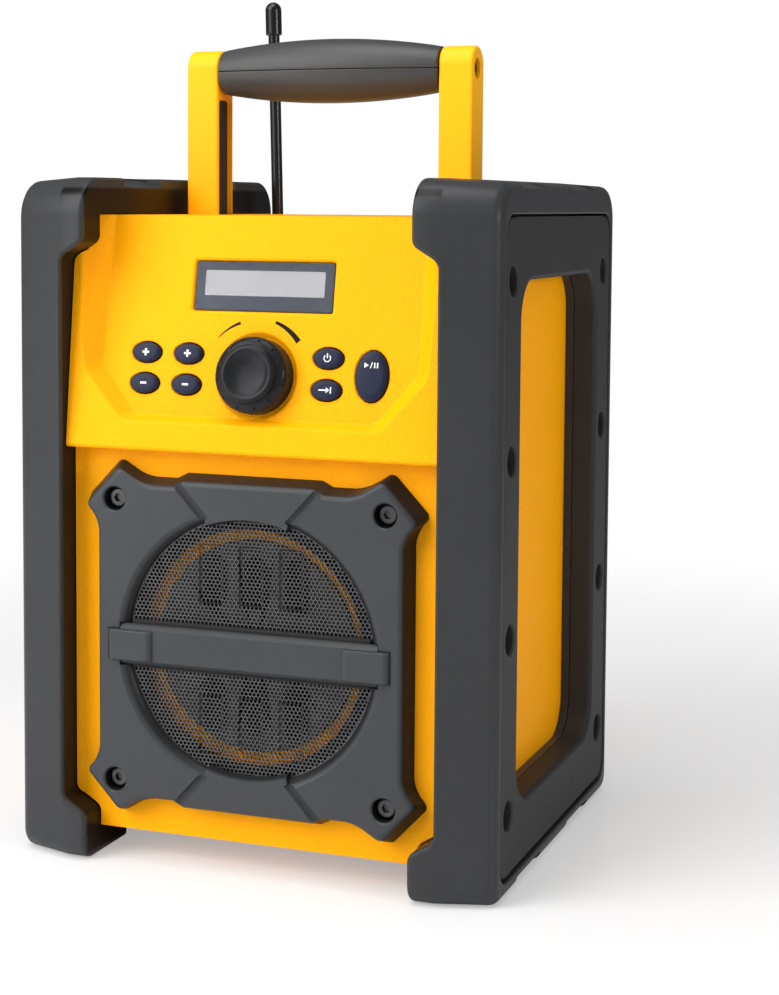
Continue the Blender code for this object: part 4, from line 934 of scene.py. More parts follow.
@dataclass(frozen=True)
class CellSleeve(Finish):
    """A printed sleeve with a light band at one end and bare steel at the ends."""

    band: Colour = (0.6, 0.6, 0.58)
    steel: Colour = (0.55, 0.55, 0.57)
    scuff: Colour = (0.02, 0.02, 0.02)
    length: float = 50 * MM
    band_start: float = 0.7
    scuff_share: float = 0.15
    scuff_size: float = 3 * MM
    ends: Point = (0.02, 0.965)

    def surface(self, graph: Graph) -> Signals:
        """Band and steel ends along the cell.

        Args:
            graph: The material's nodes.

        Returns:
            Signals for the shader's sockets.
        """
        share = (graph.parts()[0] % self.length) / self.length
        ends = (share > self.ends[1]) + (share < self.ends[0])
        scuffs = graph.noise(self.scuff_size, 3.0).ramp()
        sleeve = graph.mix(ends, graph.mix(share > self.band_start, self.colour, self.band), self.steel)
        colour = graph.mix(self.scuff_share * scuffs, sleeve, self.scuff)
        roughness = self.roughness + self.spread * scuffs
        return {"Base Color": colour, "Metallic": ends * 1.0, "Roughness": roughness}


class Finishes:
    """The radio's finishes."""

    YELLOW = MouldedPlastic("yellow_plastic", (1, 0.405, 0.002), 0.45, 0, 0.07, *mm(0.6, 0.25), mottle=0.018)
    ARM = MouldedPlastic("arm_yellow", (1, 0.46, 0.003), 0.4, 0, 0.14, *mm(0.7, 0.02), mottle=0.01)
    # The bumpers' inner walls in the mouth get painted shade.
    BUMPER = PaintedShadeMoulding(
        "bumper_black", (0.036, 0.037, 0.039), 0.34, 0, 0.16, *mm(0.5, 0.04),
        low=mm(-70, -80, 1.5), high=mm(70, 80, 237), painted_shade_share=0.12,
    )
    PLATE = MouldedPlastic("plate_black", (0.032, 0.0325, 0.0335), 0.5, 0, 0.12, *mm(0.5, 0.03))
    # The speaker frame's walls behind its face get painted shade.
    SPEAKER = PaintedShadeMoulding(
        "speaker_black", (0.042, 0.0455, 0.049), 0.4, 0, 0.22, *mm(0.5, 0.03),
        low=mm(-100, -76.8, 0), high=mm(100, 0, 200), painted_shade_share=0.3,
    )
    LOUVRE = MouldedPlastic("louvre_black", (0.06, 0.06, 0.062), 0.3, 0, 0.5, *mm(0.5, 0.02))
    GRIP = MouldedPlastic("grip_black", (0.046, 0.046, 0.046), 0.4, 0, 0.3, *mm(0.4, 0.02))
    KNOB = MouldedPlastic("knob_black", (0.013, 0.0135, 0.015), 0.26, 0, 0.13, *mm(0.4, 0.008))
    KEY = MouldedPlastic("key_rubber", (0.012, 0.016, 0.038), 0.36, 0, 0.15, *mm(0.3, 0.01))
    ANTENNA = MouldedPlastic("antenna_black", (0.008, 0.008, 0.0085), 0.26, 0, 0.4, *mm(0.4, 0.008))
    BEZEL = MouldedPlastic("display_border", (0.016, 0.022, 0.036), 0.2, 0, 0.06, *mm(0.3, 0.002))
    WHITE_INK = PrintInk("white_ink", (0.82, 0.83, 0.85), 0.5)
    BLACK_INK = PrintInk("black_ink", (0.006, 0.004, 0.002), 0.6, 0, 0.15)
    STEEL = Metal("bare_steel", (0.62, 0.62, 0.63), 0.32, 1.0)
    GRILLE = Metal("grille_steel", (0.112, 0.112, 0.115), 0.36, 0.8, stretch=(1.0, 1.0, 1.0))
    # The frame's screws are lighter than the other black steel screws: a painted highlight.
    SCREW = Metal("frame_screw_steel", (0.075, 0.075, 0.078), 0.34, 0.7)
    BLACK_STEEL = Metal("black_steel", (0.035, 0.035, 0.037), 0.36, 0.6)
    PANE = ClearPane("clear_pane", (0.24, 0.26, 0.3), 0.05, alpha=0.07, spread=0.06)
    DISPLAY = LiquidCrystal("grey_display", (0.4, 0.4, 0.405), 0.3, 0, 0.1)
    FOAM = PressedPaper("gasket_foam", (0.012, 0.012, 0.012), 0.9)
    PAPER = PressedPaper("cone_paper", (0.02, 0.02, 0.022), 0.85)
    BOARD = SolderMask("circuit_board", (0.012, 0.11, 0.05), 0.42)
    CELL = CellSleeve("cell_sleeve", (0.035, 0.09, 0.24), 0.4)


@dataclass
class Screw:
    """A screw along its own Z, with the underside of its head at zero."""

    head_radius: float
    head_height: float
    shank_radius: float
    shank_length: float
    drive: Drive = Drive.HEX
    edge: float = 0.45 * MM
    drive_share: float = 0.5
    drive_depth: float = 1.3 * MM
    slot_width: float = 1.2 * MM

    def build(self, name: str) -> Piece:
        """Turn the screw and cut its drive.

        Args:
            name: Name of the piece.

        Returns:
            The screw in its own frame.
        """
        top, head, shank = self.head_height, self.head_radius, self.shank_radius
        profile = [(0.0, top), (head - self.edge, top), (head, top - self.edge), (head, 0.0)]
        profile += [(shank, 0.0), (shank, -self.shank_length), (0.0, -self.shank_length)]
        piece = Piece.turned(name, profile, SMALL)
        low, high = top - self.drive_depth, top + MM
        reach, half = self.drive_share * head, self.slot_width / 2
        if self.drive is Drive.HEX:
            return piece.cut(Piece.rod("drive", reach, low, high, HEXAGON))
        slots = [(reach, half), (half, reach)] if self.drive is Drive.CROSS else [(2 * head, half)]
        return piece.cut(*[Piece.box("drive", (-x, -y, low), (x, y, high)) for x, y in slots])


@dataclass
class Bumpers:
    """The two guard rings that wrap the sides and stand on the floor."""

    corners: tuple[Vector, Vector] = field(default_factory=lambda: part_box("right_bumper"))
    post_inner: float = 69 * MM
    top_corner: float = 13 * MM
    foot_corner: float = 7 * MM
    slant: float = 6.5 * MM
    fall: float = 1.5 * MM
    edge: float = 3.6 * MM
    lip_low: float = 16.7 * MM
    lip_high: float = 218 * MM
    lip_slope: float = 5.5 * MM
    lip_round: float = 2 * MM
    rim: float = 1.3 * MM
    housing_low: Point = mm(30, -68.3, 9.7)
    housing_high: Point = mm(76.8, 68.3, 227.3)
    pocket_low: Point = mm(-70.2, 5.3, 79.7)
    pocket_high: Point = mm(70.2, 228.3, 120)
    pocket_corner: float = 8 * MM
    pocket_rim: float = 0.7 * MM
    notch_places: Point = mm(-35.5, 29.5)
    notch_length: float = 29 * MM
    notch_depth: float = 2.8 * MM
    notch_ramp: float = 8.5 * MM
    notch_corner: float = 3 * MM
    notch_step: float = 0.5 * MM

    def build(self) -> None:
        """Model the right bumper and mirror it to the left."""
        ring = self.ring()
        ring.cut(Piece.box("housing", self.housing_low, self.housing_high))
        pocket = Piece.box("pocket", self.pocket_low, self.pocket_high)
        pocket.soften(lambda e: runs_along(e, 2), self.pocket_corner, 8)
        ring.cut(pocket.place(RIGHT))
        outer = self.corners[1].x
        ring.soften(lambda e: sharp(e, 60) and near(middle(e).x, outer), self.pocket_rim)
        ring.cut(SidePlates().window())
        self.cut_notches(ring)
        ring.dress_both(Finishes.BUMPER, "bumper", "black_plastic")

    def ring(self) -> Piece:
        """The ring's outside, with the mouth cut out and its rim rounded.

        Returns:
            The ring, still solid.
        """
        outer, depth, height = self.corners[1]
        ring = Piece.box("right_bumper", (-depth, 0, self.corners[0].x - REACH / 3), (depth, height, outer))
        ring.soften(lambda e: runs_along(e, 2) and middle(e).y > height / 2, self.top_corner, 12)
        ring.soften(lambda e: runs_along(e, 2) and middle(e).y < height / 2, self.foot_corner, 8)
        ring.slice((0, 0, self.post_inner - self.rim / 2), (0, 0, 1))
        ring.spread(lambda v: near(v.co.z, outer), (1 - self.slant / depth, 1 - self.fall / height, 1))
        ring.soften(lambda e: sharp(e) and near(middle(e).z, outer), self.edge, 5)
        ring.place(RIGHT).cut(self.mouth("mouth", 0.0))
        return ring.soften(lambda e: sharp(e, 35) and middle(e).x < self.post_inner + NEAR, self.rim, 4)

    def mouth(self, name: str, clearance: float) -> Piece:
        """The opening between the bumpers as seen from the front.

        Args:
            name: Name of the tool.
            clearance: How much narrower the opening is drawn.

        Returns:
            The tool, in place.
        """
        rail = self.corners[0].x - clearance
        post = self.post_inner - clearance
        reach = self.corners[1].y + REACH
        half = [
            (rail, -REACH),
            (rail, self.lip_low + clearance),
            (post, self.lip_low + self.lip_slope + clearance),
            (post, self.lip_high - self.lip_slope - clearance),
            (rail, self.lip_high - clearance),
            (rail, self.corners[1].z + REACH),
        ]
        rounded = [1, 2, 3, 4, 7, 8, 9, 10]
        return Piece.slab(name, both_sides(half), -reach, reach, {self.lip_round: rounded}).place(FRONT)

    def cut_notches(self, ring: Piece) -> None:
        """Cut ramped notches into the inner and outer edges of the rails, top and bottom.

        Args:
            ring: The right bumper.
        """
        half = self.notch_length / 2
        ramp = Matrix.Rotation(math.atan2(self.notch_depth, self.notch_ramp), 4, "X")
        wedge = Piece.box("notch", (-half, -REACH / 10, 0), (half, REACH, REACH))
        wedge.soften(lambda e: runs_along(e, 1) and near(middle(e).z, 0), self.notch_corner, 5)
        wedge.spread(lambda v: v.co.y < 0, (1, 0, 1))
        inner, outer = self.corners[0].x + self.notch_ramp, self.corners[1].x - self.notch_ramp
        places = []
        for along in self.notch_places:
            for way, start in ((-1, inner), (1, outer)):
                for upright, level in ((1, self.corners[1].z), (-1, 0.0)):
                    turn = Matrix.Diagonal((1, upright, way, 1)) @ ramp
                    places.append(RIGHT @ shift(along, level - upright * self.notch_step, start) @ turn)
        ring.cut_at(wedge, places)


@dataclass
class SidePlates:
    """The inset plates of the two sides, each with a window and eight countersunk screws."""

    low: Point = mm(-69.7, 6.5, 80)
    high: Point = mm(69.7, 227.5, 88.6)
    corner: float = 7.7 * MM
    rim: float = 1.1 * MM
    window_low: Point = mm(-50, 28)
    window_high: Point = mm(50, 206)
    window_corner: float = 14 * MM
    window_lip: float = 2 * MM
    screw_reach: float = 60.3 * MM
    screw_low: float = 27.5 * MM
    screw_high: float = 206.5 * MM
    screw_rows: int = 4
    bore_radius: float = 5 * MM
    bore_depth: float = 6.6 * MM
    bore_edge: float = 0.6 * MM
    screw: Screw = field(default_factory=lambda: Screw(*mm(4.2, 2.6, 1.9, 13)))

    def window(self) -> Piece:
        """The window's shape through the plate and the bumper, on the right side.

        Returns:
            The tool, in place.
        """
        low = (*self.window_low, self.low[2] - REACH)
        tool = Piece.box("window", low, (*self.window_high, self.high[2] + REACH))
        return tool.soften(lambda e: runs_along(e, 2), self.window_corner, 12).place(RIGHT)

    def screw_places(self, height: float = 0.0) -> list[Matrix]:
        """Places of one side's screws in its frame.

        Args:
            height: How far out they stand.

        Returns:
            The places, front column first.
        """
        rise = (self.screw_high - self.screw_low) / (self.screw_rows - 1)
        rows = [self.screw_low + rise * row for row in range(self.screw_rows)]
        return [shift(along, row, height) for along in (-self.screw_reach, self.screw_reach) for row in rows]

    def build(self) -> None:
        """Model the right plate, mirror it, and put screws into both."""
        face = self.high[2]
        seat = face - self.bore_depth
        plate = Piece.box("right_side_plate", self.low, self.high)
        plate.soften(lambda e: runs_along(e, 2), self.corner, 8).place(RIGHT)
        plate.cut(self.window())
        limit, inside = self.window_high[0] + NEAR, self.window_high[1] + NEAR
        plate.soften(lambda e: sharp(e) and near(middle(e).x, face) and abs(middle(e).y) > limit, self.rim)
        plate.soften(
            lambda e: sharp(e, 60) and near(middle(e).x, face) and middle(e).z < inside, self.window_lip, 4
        )
        shank = (self.screw.shank_radius + GAP, self.low[2] - MM)
        bore = Piece.hole("bore", face, self.bore_edge, (self.bore_radius, seat), shank, steps=SMALL)
        plate.cut_at(bore, [RIGHT @ place for place in self.screw_places()])
        plate.dress_both(Finishes.PLATE, "side_plate", "black_plastic")
        model = self.screw.build("side_screw")
        for side, frame_of_side in (("left", LEFT), ("right", RIGHT)):
            for number, place in enumerate(self.screw_places(seat + GAP), 1):
                name = f"{side}_side_screw_{number}"
                model.copy(name).place(frame_of_side @ place).dress(
                    Finishes.BLACK_STEEL, node=name, slot="black_steel"
                )
        model.remove()


@dataclass
class FrontHousing:
    """The yellow front shell: baffle, overhanging console and its sunken panel."""

    half: float = 76.5 * MM
    low: float = 10 * MM
    high: float = 227 * MM
    parting: float = 12 * MM
    depth: float = 68 * MM
    wall: float = 3 * MM
    baffle: float = 69.6 * MM
    console_low: float = 146 * MM
    console_foot: float = 77.6 * MM
    console_head: float = 69 * MM
    foot_round: float = 1.8 * MM
    head_round: float = 1.4 * MM
    face_back: float = 56 * MM
    rim_proud: float = 1.1 * MM
    rim_slope: float = 3.2 * MM
    recess_half: float = 58.8 * MM
    recess_floor: float = 16.3 * MM
    recess_cut: Point = mm(14.2, 17.3)
    recess_top: float = 83 * MM
    recess_rise: float = 14 * MM
    recess_flare: float = 1.187
    recess_centre: Point = mm(0, 27, 0)
    recess_corner: float = 2.5 * MM
    recess_fillet: float = 0.7 * MM
    recess_reach: float = 6.4 * MM
    recess_rim: float = 0.8 * MM
    ring_radius: float = 41 * MM
    hole_radius: float = 37 * MM
    ring_floor: float = 67.4 * MM

    def build(self, bumpers: Bumpers, panel: "Panel") -> None:
        """Model the shell.

        Args:
            bumpers: The bumpers whose mouth the console fits.
            panel: The controls that need holes.
        """
        high = (self.half, self.high, self.depth)
        shell = Piece.box("front_housing", (-self.half, self.low, self.parting), high)
        shell.place(FRONT).weld(self.face(bumpers))
        shell.cut(self.recess())
        self.round_recess(shell)
        shell.cut(self.cavity())
        front = self.baffle + REACH
        shell.cut(Piece.rod("ring", self.ring_radius, self.ring_floor, front, FINE).place(SPEAKER))
        shell.cut(Piece.rod("hole", self.hole_radius, self.parting + REACH, front, FINE).place(SPEAKER))
        shell.cut(*panel.hole_tools())
        panel.round_pocket(shell)
        shell.dress(Finishes.YELLOW, node="front_housing", slot="yellow_plastic")

    def face(self, bumpers: Bumpers) -> Piece:
        """Baffle with sloping strips at its sides, and console, trimmed to the mouth between the bumpers.

        Args:
            bumpers: The bumpers.

        Returns:
            The face, in place.
        """
        outline = [
            (self.face_back, self.low),
            (self.baffle, self.low),
            (self.baffle, self.console_low),
            (self.console_foot, self.console_low),
            (self.console_head, self.high),
            (self.face_back, self.high),
        ]
        outer = bumpers.post_inner
        face = Piece.slab("console_face", outline, -outer, outer)
        for (x, y), width in ((outline[3], self.foot_round), (outline[4], self.head_round)):
            face.soften(
                lambda e: runs_along(e, 2) and near(middle(e).x, x) and near(middle(e).y, y), width, 4
            )
        face.place(LEFT)
        inner, back = outer - self.rim_slope, self.baffle - MM
        strip = [(inner, back), (inner, self.baffle), (outer, self.baffle + self.rim_proud), (outer, back)]
        for way in (-1, 1):
            corners = [(way * x, y) for x, y in strip]
            face.weld(Piece.slab("baffle_rim", corners, -self.console_low - MM, -self.low).place(PLAN))
        return face.keep(bumpers.mouth("console_mouth", GAP))

    def recess(self) -> Piece:
        """The sunken panel's shape: flared walls and a filleted floor.

        Returns:
            The tool, in place.
        """
        half, rise, flare = self.recess_half, self.recess_rise, self.recess_flare
        right = [
            (half - self.recess_cut[0], -self.recess_floor),
            (half, self.recess_cut[1] - self.recess_floor),
            (half, self.recess_top),
        ]
        tool = Piece.slab("recess", both_sides(right), 0, rise, {self.recess_corner: [0, 1, 4, 5]})
        tool.spread(lambda v: near(v.co.z, rise), (flare, flare, 1), self.recess_centre)
        return tool.soften(lambda e: sharp(e) and near(middle(e).z, 0), self.recess_fillet, 4).place(PANEL)

    def round_recess(self, shell: Piece) -> None:
        """Round the rim where the sunken panel's walls meet the console's face.

        Args:
            shell: The front shell.
        """
        face = Vector((0, self.console_low - self.high, self.console_foot - self.console_head)).normalized()
        limit = self.recess_half + self.recess_reach

        def on_rim(edge: bmesh.types.BMEdge) -> bool:
            """Whether an edge lies on the rim."""
            flat = any(side.normal.dot(face) > 0.9999 for side in edge.link_faces)
            return flat and sharp(edge, 15) and abs(middle(edge).x) < limit

        shell.soften(on_rim, self.recess_rim)

    def cavity(self) -> Piece:
        """The room inside, behind the panel and the baffle.

        Returns:
            The tool, in place.
        """
        lean = math.tan(PANEL_LEAN)
        back = -PANEL.translation.y - self.wall / math.cos(PANEL_LEAN)
        panel_low = PANEL.translation.z - self.recess_floor
        floor, ceiling = self.low + self.wall, self.high - self.wall
        inner = self.baffle - self.wall
        outline = [
            (-self.parting, floor),
            (inner, floor),
            (inner, panel_low),
            (back + self.recess_floor * lean, panel_low),
            (back - (ceiling - PANEL.translation.z) * lean, ceiling),
            (-self.parting, ceiling),
        ]
        return Piece.slab("cavity", outline, self.wall - self.half, self.half - self.wall).place(LEFT)


@dataclass
class RearHousing:
    """The yellow rear shell with its battery bay, its door and the door's screw."""

    low: Point = mm(-76.5, -11.7, 10)
    high: Point = mm(76.5, 68, 227)
    wall: float = 3 * MM
    edge: float = 3 * MM
    bay_low: Point = mm(-52, 38.1, 40)
    bay_high: Point = mm(52, 90, 92.9)
    block_low: Point = mm(-60.7, 35.6, 34)
    block_high: Point = mm(60.7, 90, 105.4)
    door_half: float = 56 * MM
    door_low: float = 36.5 * MM
    door_high: float = 102.9 * MM
    door_thickness: float = 3 * MM
    door_rim: float = 0.5 * MM
    hinge_round: float = 0.98
    peg_radius: float = 1 * MM
    peg_length: float = 2.2 * MM
    screw_drop: float = 5.2 * MM
    inset_margin: float = 7 * MM
    inset_depth: float = 0.7 * MM
    inset_corner: float = 3 * MM
    inset_flare: Point = (1.02, 1, 1.04)
    sockets: Sequence[Point] = (mm(22, 115.3), mm(36, 115.3))
    socket_bore: Point = mm(4.5, 1)
    pivot: Point = mm(-52.7, 214)
    pivot_bore: Point = mm(2.3, 0.3)
    arm_inner: float = 43.2 * MM
    arm_outer: float = 56.6 * MM
    arm_half_depth: float = 7.2 * MM
    screw: Screw = field(default_factory=lambda: Screw(*mm(4.2, 1.4, 1.6, 6), Drive.COIN))

    def build(self) -> None:
        """Model the shell, the door and its screw."""
        self.build_shell()
        self.build_door()

    def build_shell(self) -> None:
        """The shell with all its openings."""
        back, top = self.high[1:]
        shell = Piece.box("rear_housing", self.low, self.high)
        shell.soften(lambda e: runs_along(e, 0) and near(middle(e).y, back), self.edge, 5)
        inset = Vector((self.wall, self.wall, self.wall))
        inner = Vector(self.low) + inset - Vector((0, REACH, 0))
        cavity = Piece.box("cavity", inner, Vector(self.high) - inset)
        shell.cut(cavity.cut(Piece.box("bay_block", self.block_low, self.block_high)))
        shell.cut(Piece.box("bay", self.bay_low, self.bay_high))
        half, front = self.door_half + GAP, back - self.door_thickness - GAP
        room_high = (half, back + REACH, self.door_high + GAP)
        shell.cut(Piece.box("door_room", (-half, front, self.door_low - GAP), room_high))
        limit = half + GAP
        shell.soften(
            lambda e: sharp(e, 60) and near(middle(e).y, back) and abs(middle(e).x) < limit, self.door_rim, 2
        )
        holes = [(place, self.socket_bore) for place in self.sockets] + [(self.pivot, self.pivot_bore)]
        for (x, height), (radius, edge) in holes:
            tool = Piece.hole("round_hole", back, edge, (radius, back - 2 * self.wall))
            shell.cut(tool.place(REAR @ shift(-x, height)))
        for way in (-1, 1):
            left, right = sorted((way * self.arm_inner, way * self.arm_outer))
            low = (left, -self.arm_half_depth, top - 2 * self.wall)
            shell.cut(Piece.box("arm_room", low, (right, self.arm_half_depth, top + REACH)))
        shell.dress(Finishes.YELLOW, node="rear_housing", slot="yellow_plastic")

    def build_door(self) -> None:
        """The door with its rounded hinge edge, pegs and shallow inset, and the coin screw."""
        back, half, width = self.high[1], self.door_thickness / 2, self.door_half
        front = back - self.door_thickness
        axis = (0.0, back - half, self.door_low + half)
        door = Piece.box("battery_door", (-width, front, self.door_low), (width, back, self.door_high))
        door.soften(lambda e: runs_along(e, 0) and middle(e).z < axis[2], self.hinge_round * half, 6)
        door.soften(lambda e: sharp(e, 60) and near(middle(e).y, back), self.door_rim)
        margin = self.inset_margin
        low = (margin - width, back - self.inset_depth, self.door_low + margin)
        high = (width - margin, back + MM, self.door_high - 2 * margin)
        inset = Piece.box("inset", low, high)
        inset.soften(lambda e: runs_along(e, 1), self.inset_corner, 6)
        inset.spread(lambda v: v.co.y > back, self.inset_flare, (0, 0, (low[2] + high[2]) / 2))
        door.cut(inset)
        reach = width + self.peg_length
        pegs = Piece.rod("pegs", self.peg_radius, -reach, reach, 16)
        door.weld(pegs.place(Matrix.Translation(axis) @ Matrix.Rotation(math.pi / 2, 4, "Y")))
        seat = back - self.screw.head_height - GAP
        bores = (self.screw.head_radius + GAP, seat), (self.screw.shank_radius + GAP, front - MM)
        place = REAR @ shift(0, self.door_high - self.screw_drop)
        door.cut(Piece.hole("screw_bore", back, GAP, *bores).place(place))
        door.dress(Finishes.YELLOW, "door", "battery_door", "yellow_plastic")
        screw = self.screw.build("door_screw").place(place @ shift(0, 0, seat + GAP))
        screw.dress(Finishes.STEEL, "coin_screw", "door_screw", "steel")


@dataclass
class SpeakerFront:
    """Everything in front of the speaker: eared frame, its screws, perforated disc and crossbar."""

    back: float = 69.9 * MM
    face: float = 77.3 * MM
    outline: Sequence[Point] = (
        mm(58.6, 43.1), mm(63.8, 49.1), mm(50.6, 63.1), mm(40.5, 57.1), mm(29, 57.1), mm(25, 59.1),
    )
    ear_round: float = 2 * MM
    root_round: float = 4 * MM
    draft: float = 0.959
    edge: float = 1.6 * MM
    dish: Sequence[Point] = (mm(49.1, 0), mm(48.55, 0.2), mm(47.9, 0.8), mm(46.1, 2.2), mm(45.6, 3.6))
    rebate: float = 46.2 * MM
    groove_outer: Point = mm(27.6, 57.6)
    groove_inner: Point = mm(15.4, 44.2)
    groove_width: float = 3 * MM
    groove_depth: float = 1.1 * MM
    groove_round: float = 1.05 * MM
    crown_depth: float = 5.1 * MM
    crown_draft: float = 1.025
    screw_place: Point = mm(50.1, 49.6)
    bore_radius: float = 4.2 * MM
    bore_depth: float = 6 * MM
    bore_edge: float = 0.5 * MM
    bar_drop: float = 1.2 * MM
    bar_reach: float = 52.2 * MM
    bar_half: Point = mm(47.8, 7.25)
    bar_back: float = 75 * MM
    bar_front: float = 77.5 * MM
    bar_edge: float = 1.8 * MM
    bar_shade_band: float = 1.2 * MM
    strip_edge: float = 0.4 * MM
    block_length: float = 17 * MM
    block_half_height: float = 5.3 * MM
    block_front: float = 79.2 * MM
    block_roll: float = 2.2 * MM
    block_edge: float = 0.6 * MM
    disc_radius: float = 45.9 * MM
    disc_back: float = 72.6 * MM
    disc_front: float = 73.4 * MM
    hole_pitch: float = 1.5 * MM
    hole_radius: float = 0.68 * MM
    disc_rim: float = 0.6 * MM
    rim_proud: float = 0.05 * MM
    dent_columns: Point = mm(-15, 0, 15)
    dent_half: float = 4 * MM
    dent_low: float = 16.3 * MM
    dent_high: float = 36.3 * MM
    dent_depth: float = 1.1 * MM
    gasket_inner: float = 41.2 * MM
    gasket_back: float = 69.7 * MM
    gasket_edge: float = 0.5 * MM
    louvre_radius: float = 36.7 * MM
    louvre_back: float = 66.6 * MM
    louvre_front: float = 69.1 * MM
    slot_columns: Point = mm(-15.4, 0, 15.4)
    slot_half: float = 4 * MM
    slot_low: float = 13 * MM
    slot_high: float = 31 * MM
    slot_edge: float = 1.4 * MM
    slot_round: float = 0.95
    signs: Sequence[Point] = ((-1, 1), (-1, -1), (1, 1), (1, -1))
    screw: Screw = field(default_factory=lambda: Screw(*mm(3.3, 2.4, 1.5, 9)))

    def build(self) -> None:
        """Model the frame, its screws, the bar and the disc."""
        self.build_frame()
        self.build_bar()
        self.build_disc()
        self.build_gasket()
        self.build_louvre()

    def screw_places(self, height: float = 0.0) -> list[Matrix]:
        """Places of the frame's screws, in their order."""
        return [shift(x * self.screw_place[0], y * self.screw_place[1], height) for x, y in self.signs]

    def build_frame(self) -> None:
        """The frame: drafted outline, dished opening, grooves and counterbores, and its four screws."""
        right = [(x, -y) for x, y in reversed(self.outline)] + list(self.outline)
        starts = (0, len(right))
        rounds = {
            self.ear_round: [start + index for start in starts for index in (3, 4, 7, 8)],
            self.root_round: [start + index for start in starts for index in (2, 5, 6, 9)],
        }
        border = Piece.slab("speaker_frame", both_sides(right), self.back, self.face, rounds)
        border.spread(lambda v: near(v.co.z, self.face), (self.draft, self.draft, 1))
        border.soften(lambda e: sharp(e) and near(middle(e).z, self.face), self.edge, 4)
        seat = self.face - self.dish[-1][1]
        profile = [(0.0, self.face + REACH), (self.dish[0][0], self.face + REACH)]
        profile += [(radius, self.face - depth) for radius, depth in self.dish]
        profile += [(self.rebate, seat), (self.rebate, self.back - REACH), (0.0, self.back - REACH)]
        border.cut(Piece.turned("opening", profile, FINE))
        border.weld(*self.crowns(seat)).cut(*self.grooves())
        floor = self.face - self.bore_depth
        shank = (self.screw.shank_radius + GAP, self.back - MM)
        bore = Piece.hole("bore", self.face, self.bore_edge, (self.bore_radius, floor), shank)
        border.cut_at(bore, self.screw_places()).cut(*self.bar_shapes(GAP))
        border.place(SPEAKER).dress(Finishes.SPEAKER, node="speaker_frame", slot="black_plastic")
        model = self.screw.build("frame_screw")
        for number, place in enumerate(self.screw_places(floor + GAP), 1):
            name = f"frame_screw_{number}"
            model.copy(name).place(SPEAKER @ place).dress(Finishes.SCREW, node=name, slot="black_steel")
        model.remove()

    def crowns(self, seat: float) -> list[Piece]:
        """Raised rims at the top and bottom of the opening, between the grooves.

        Args:
            seat: Height of their undersides.

        Returns:
            The two rims.
        """
        lip, draft = self.dish[0][0], self.crown_draft
        spread = math.degrees(math.atan2(*self.groove_inner))
        rims = []
        for upright in (90, 270):
            outer = arc(lip + MM, upright - spread, upright + spread, 24)
            inner = arc(lip - self.crown_depth, upright + spread, upright - spread, 24)
            rim = Piece.slab("crown", outer + inner, seat, self.face)
            rim.spread(lambda v: near(v.co.z, self.face) and v.co.xy.length < lip, (draft, draft, 1))
            rims.append(rim)
        return rims

    def grooves(self) -> list[Piece]:
        """Four slanting grooves that run from the opening to the outer edge.

        Returns:
            The tools.
        """
        width, low = self.groove_width / 2, self.face - self.groove_depth
        tools = []
        for signs in self.signs:
            outer, inner = (Vector(end) * Vector(signs) for end in (self.groove_outer, self.groove_inner))
            span, centre = outer - inner, (outer + inner) / 2
            half = span.length / 2
            tool = Piece.box("groove", (-half, -width, low), (half, width, self.face + MM))
            tool.soften(lambda e: runs_along(e, 0) and near(middle(e).z, low), self.groove_round)
            turn = Matrix.Rotation(math.atan2(span.y, span.x), 4, "Z")
            tools.append(tool.place(shift(*centre) @ turn))
        return tools

    def bar_shapes(self, margin: float) -> list[Piece]:
        """The crossbar and its two end blocks, or the room for them.

        Args:
            margin: Clearance that is added all round.

        Returns:
            The three shapes.
        """
        half, height = self.bar_half
        reach, inner = self.bar_reach, self.bar_reach - self.block_length
        block = (self.block_half_height, self.block_front)
        shapes = []
        for left, right, rise, front in (
            (-half, half, height, self.bar_front), (-reach, -inner, *block), (inner, reach, *block),
        ):
            low = (left - margin, -self.bar_drop - rise - margin, self.bar_back - margin)
            high = (right + margin, -self.bar_drop + rise + margin, front + margin)
            shapes.append(Piece.box("bar", low, high))
        return shapes

    def build_bar(self) -> None:
        """The crossbar with its rolled end blocks, and a black strip behind it that is painted shade above
        and below the bar.
        """
        bar, *blocks = self.bar_shapes(0.0)
        bar.soften(lambda e: runs_along(e, 0) and near(middle(e).z, self.bar_front), self.bar_edge, 1)
        for block in blocks:
            block.soften(
                lambda e: runs_along(e, 1) and near(middle(e).z, self.block_front), self.block_roll, 6
            )
            block.soften(lambda e: sharp(e, 60) and middle(e).z > self.block_front - MM, self.block_edge)
        bar.called("grille_crossbar").weld(*blocks).place(SPEAKER)
        bar.dress(Finishes.SPEAKER, node="grille_crossbar", slot="black_plastic")
        # The black strip is painted shade: a dark band just above and below the bar.
        rise = self.bar_half[1] + self.bar_shade_band
        reach = math.sqrt(self.dish[-1][0] ** 2 - rise**2) - GAP
        low = (-reach, -self.bar_drop - rise, self.disc_front + GAP)
        strip = Piece.box("crossbar_painted_shade", low, (reach, rise - self.bar_drop, self.bar_back - GAP))
        strip.soften(lambda e: sharp(e, 60) and middle(e).z > self.disc_front + MM, self.strip_edge, 2)
        strip.place(SPEAKER).dress(Finishes.FOAM, slot="black_plastic")

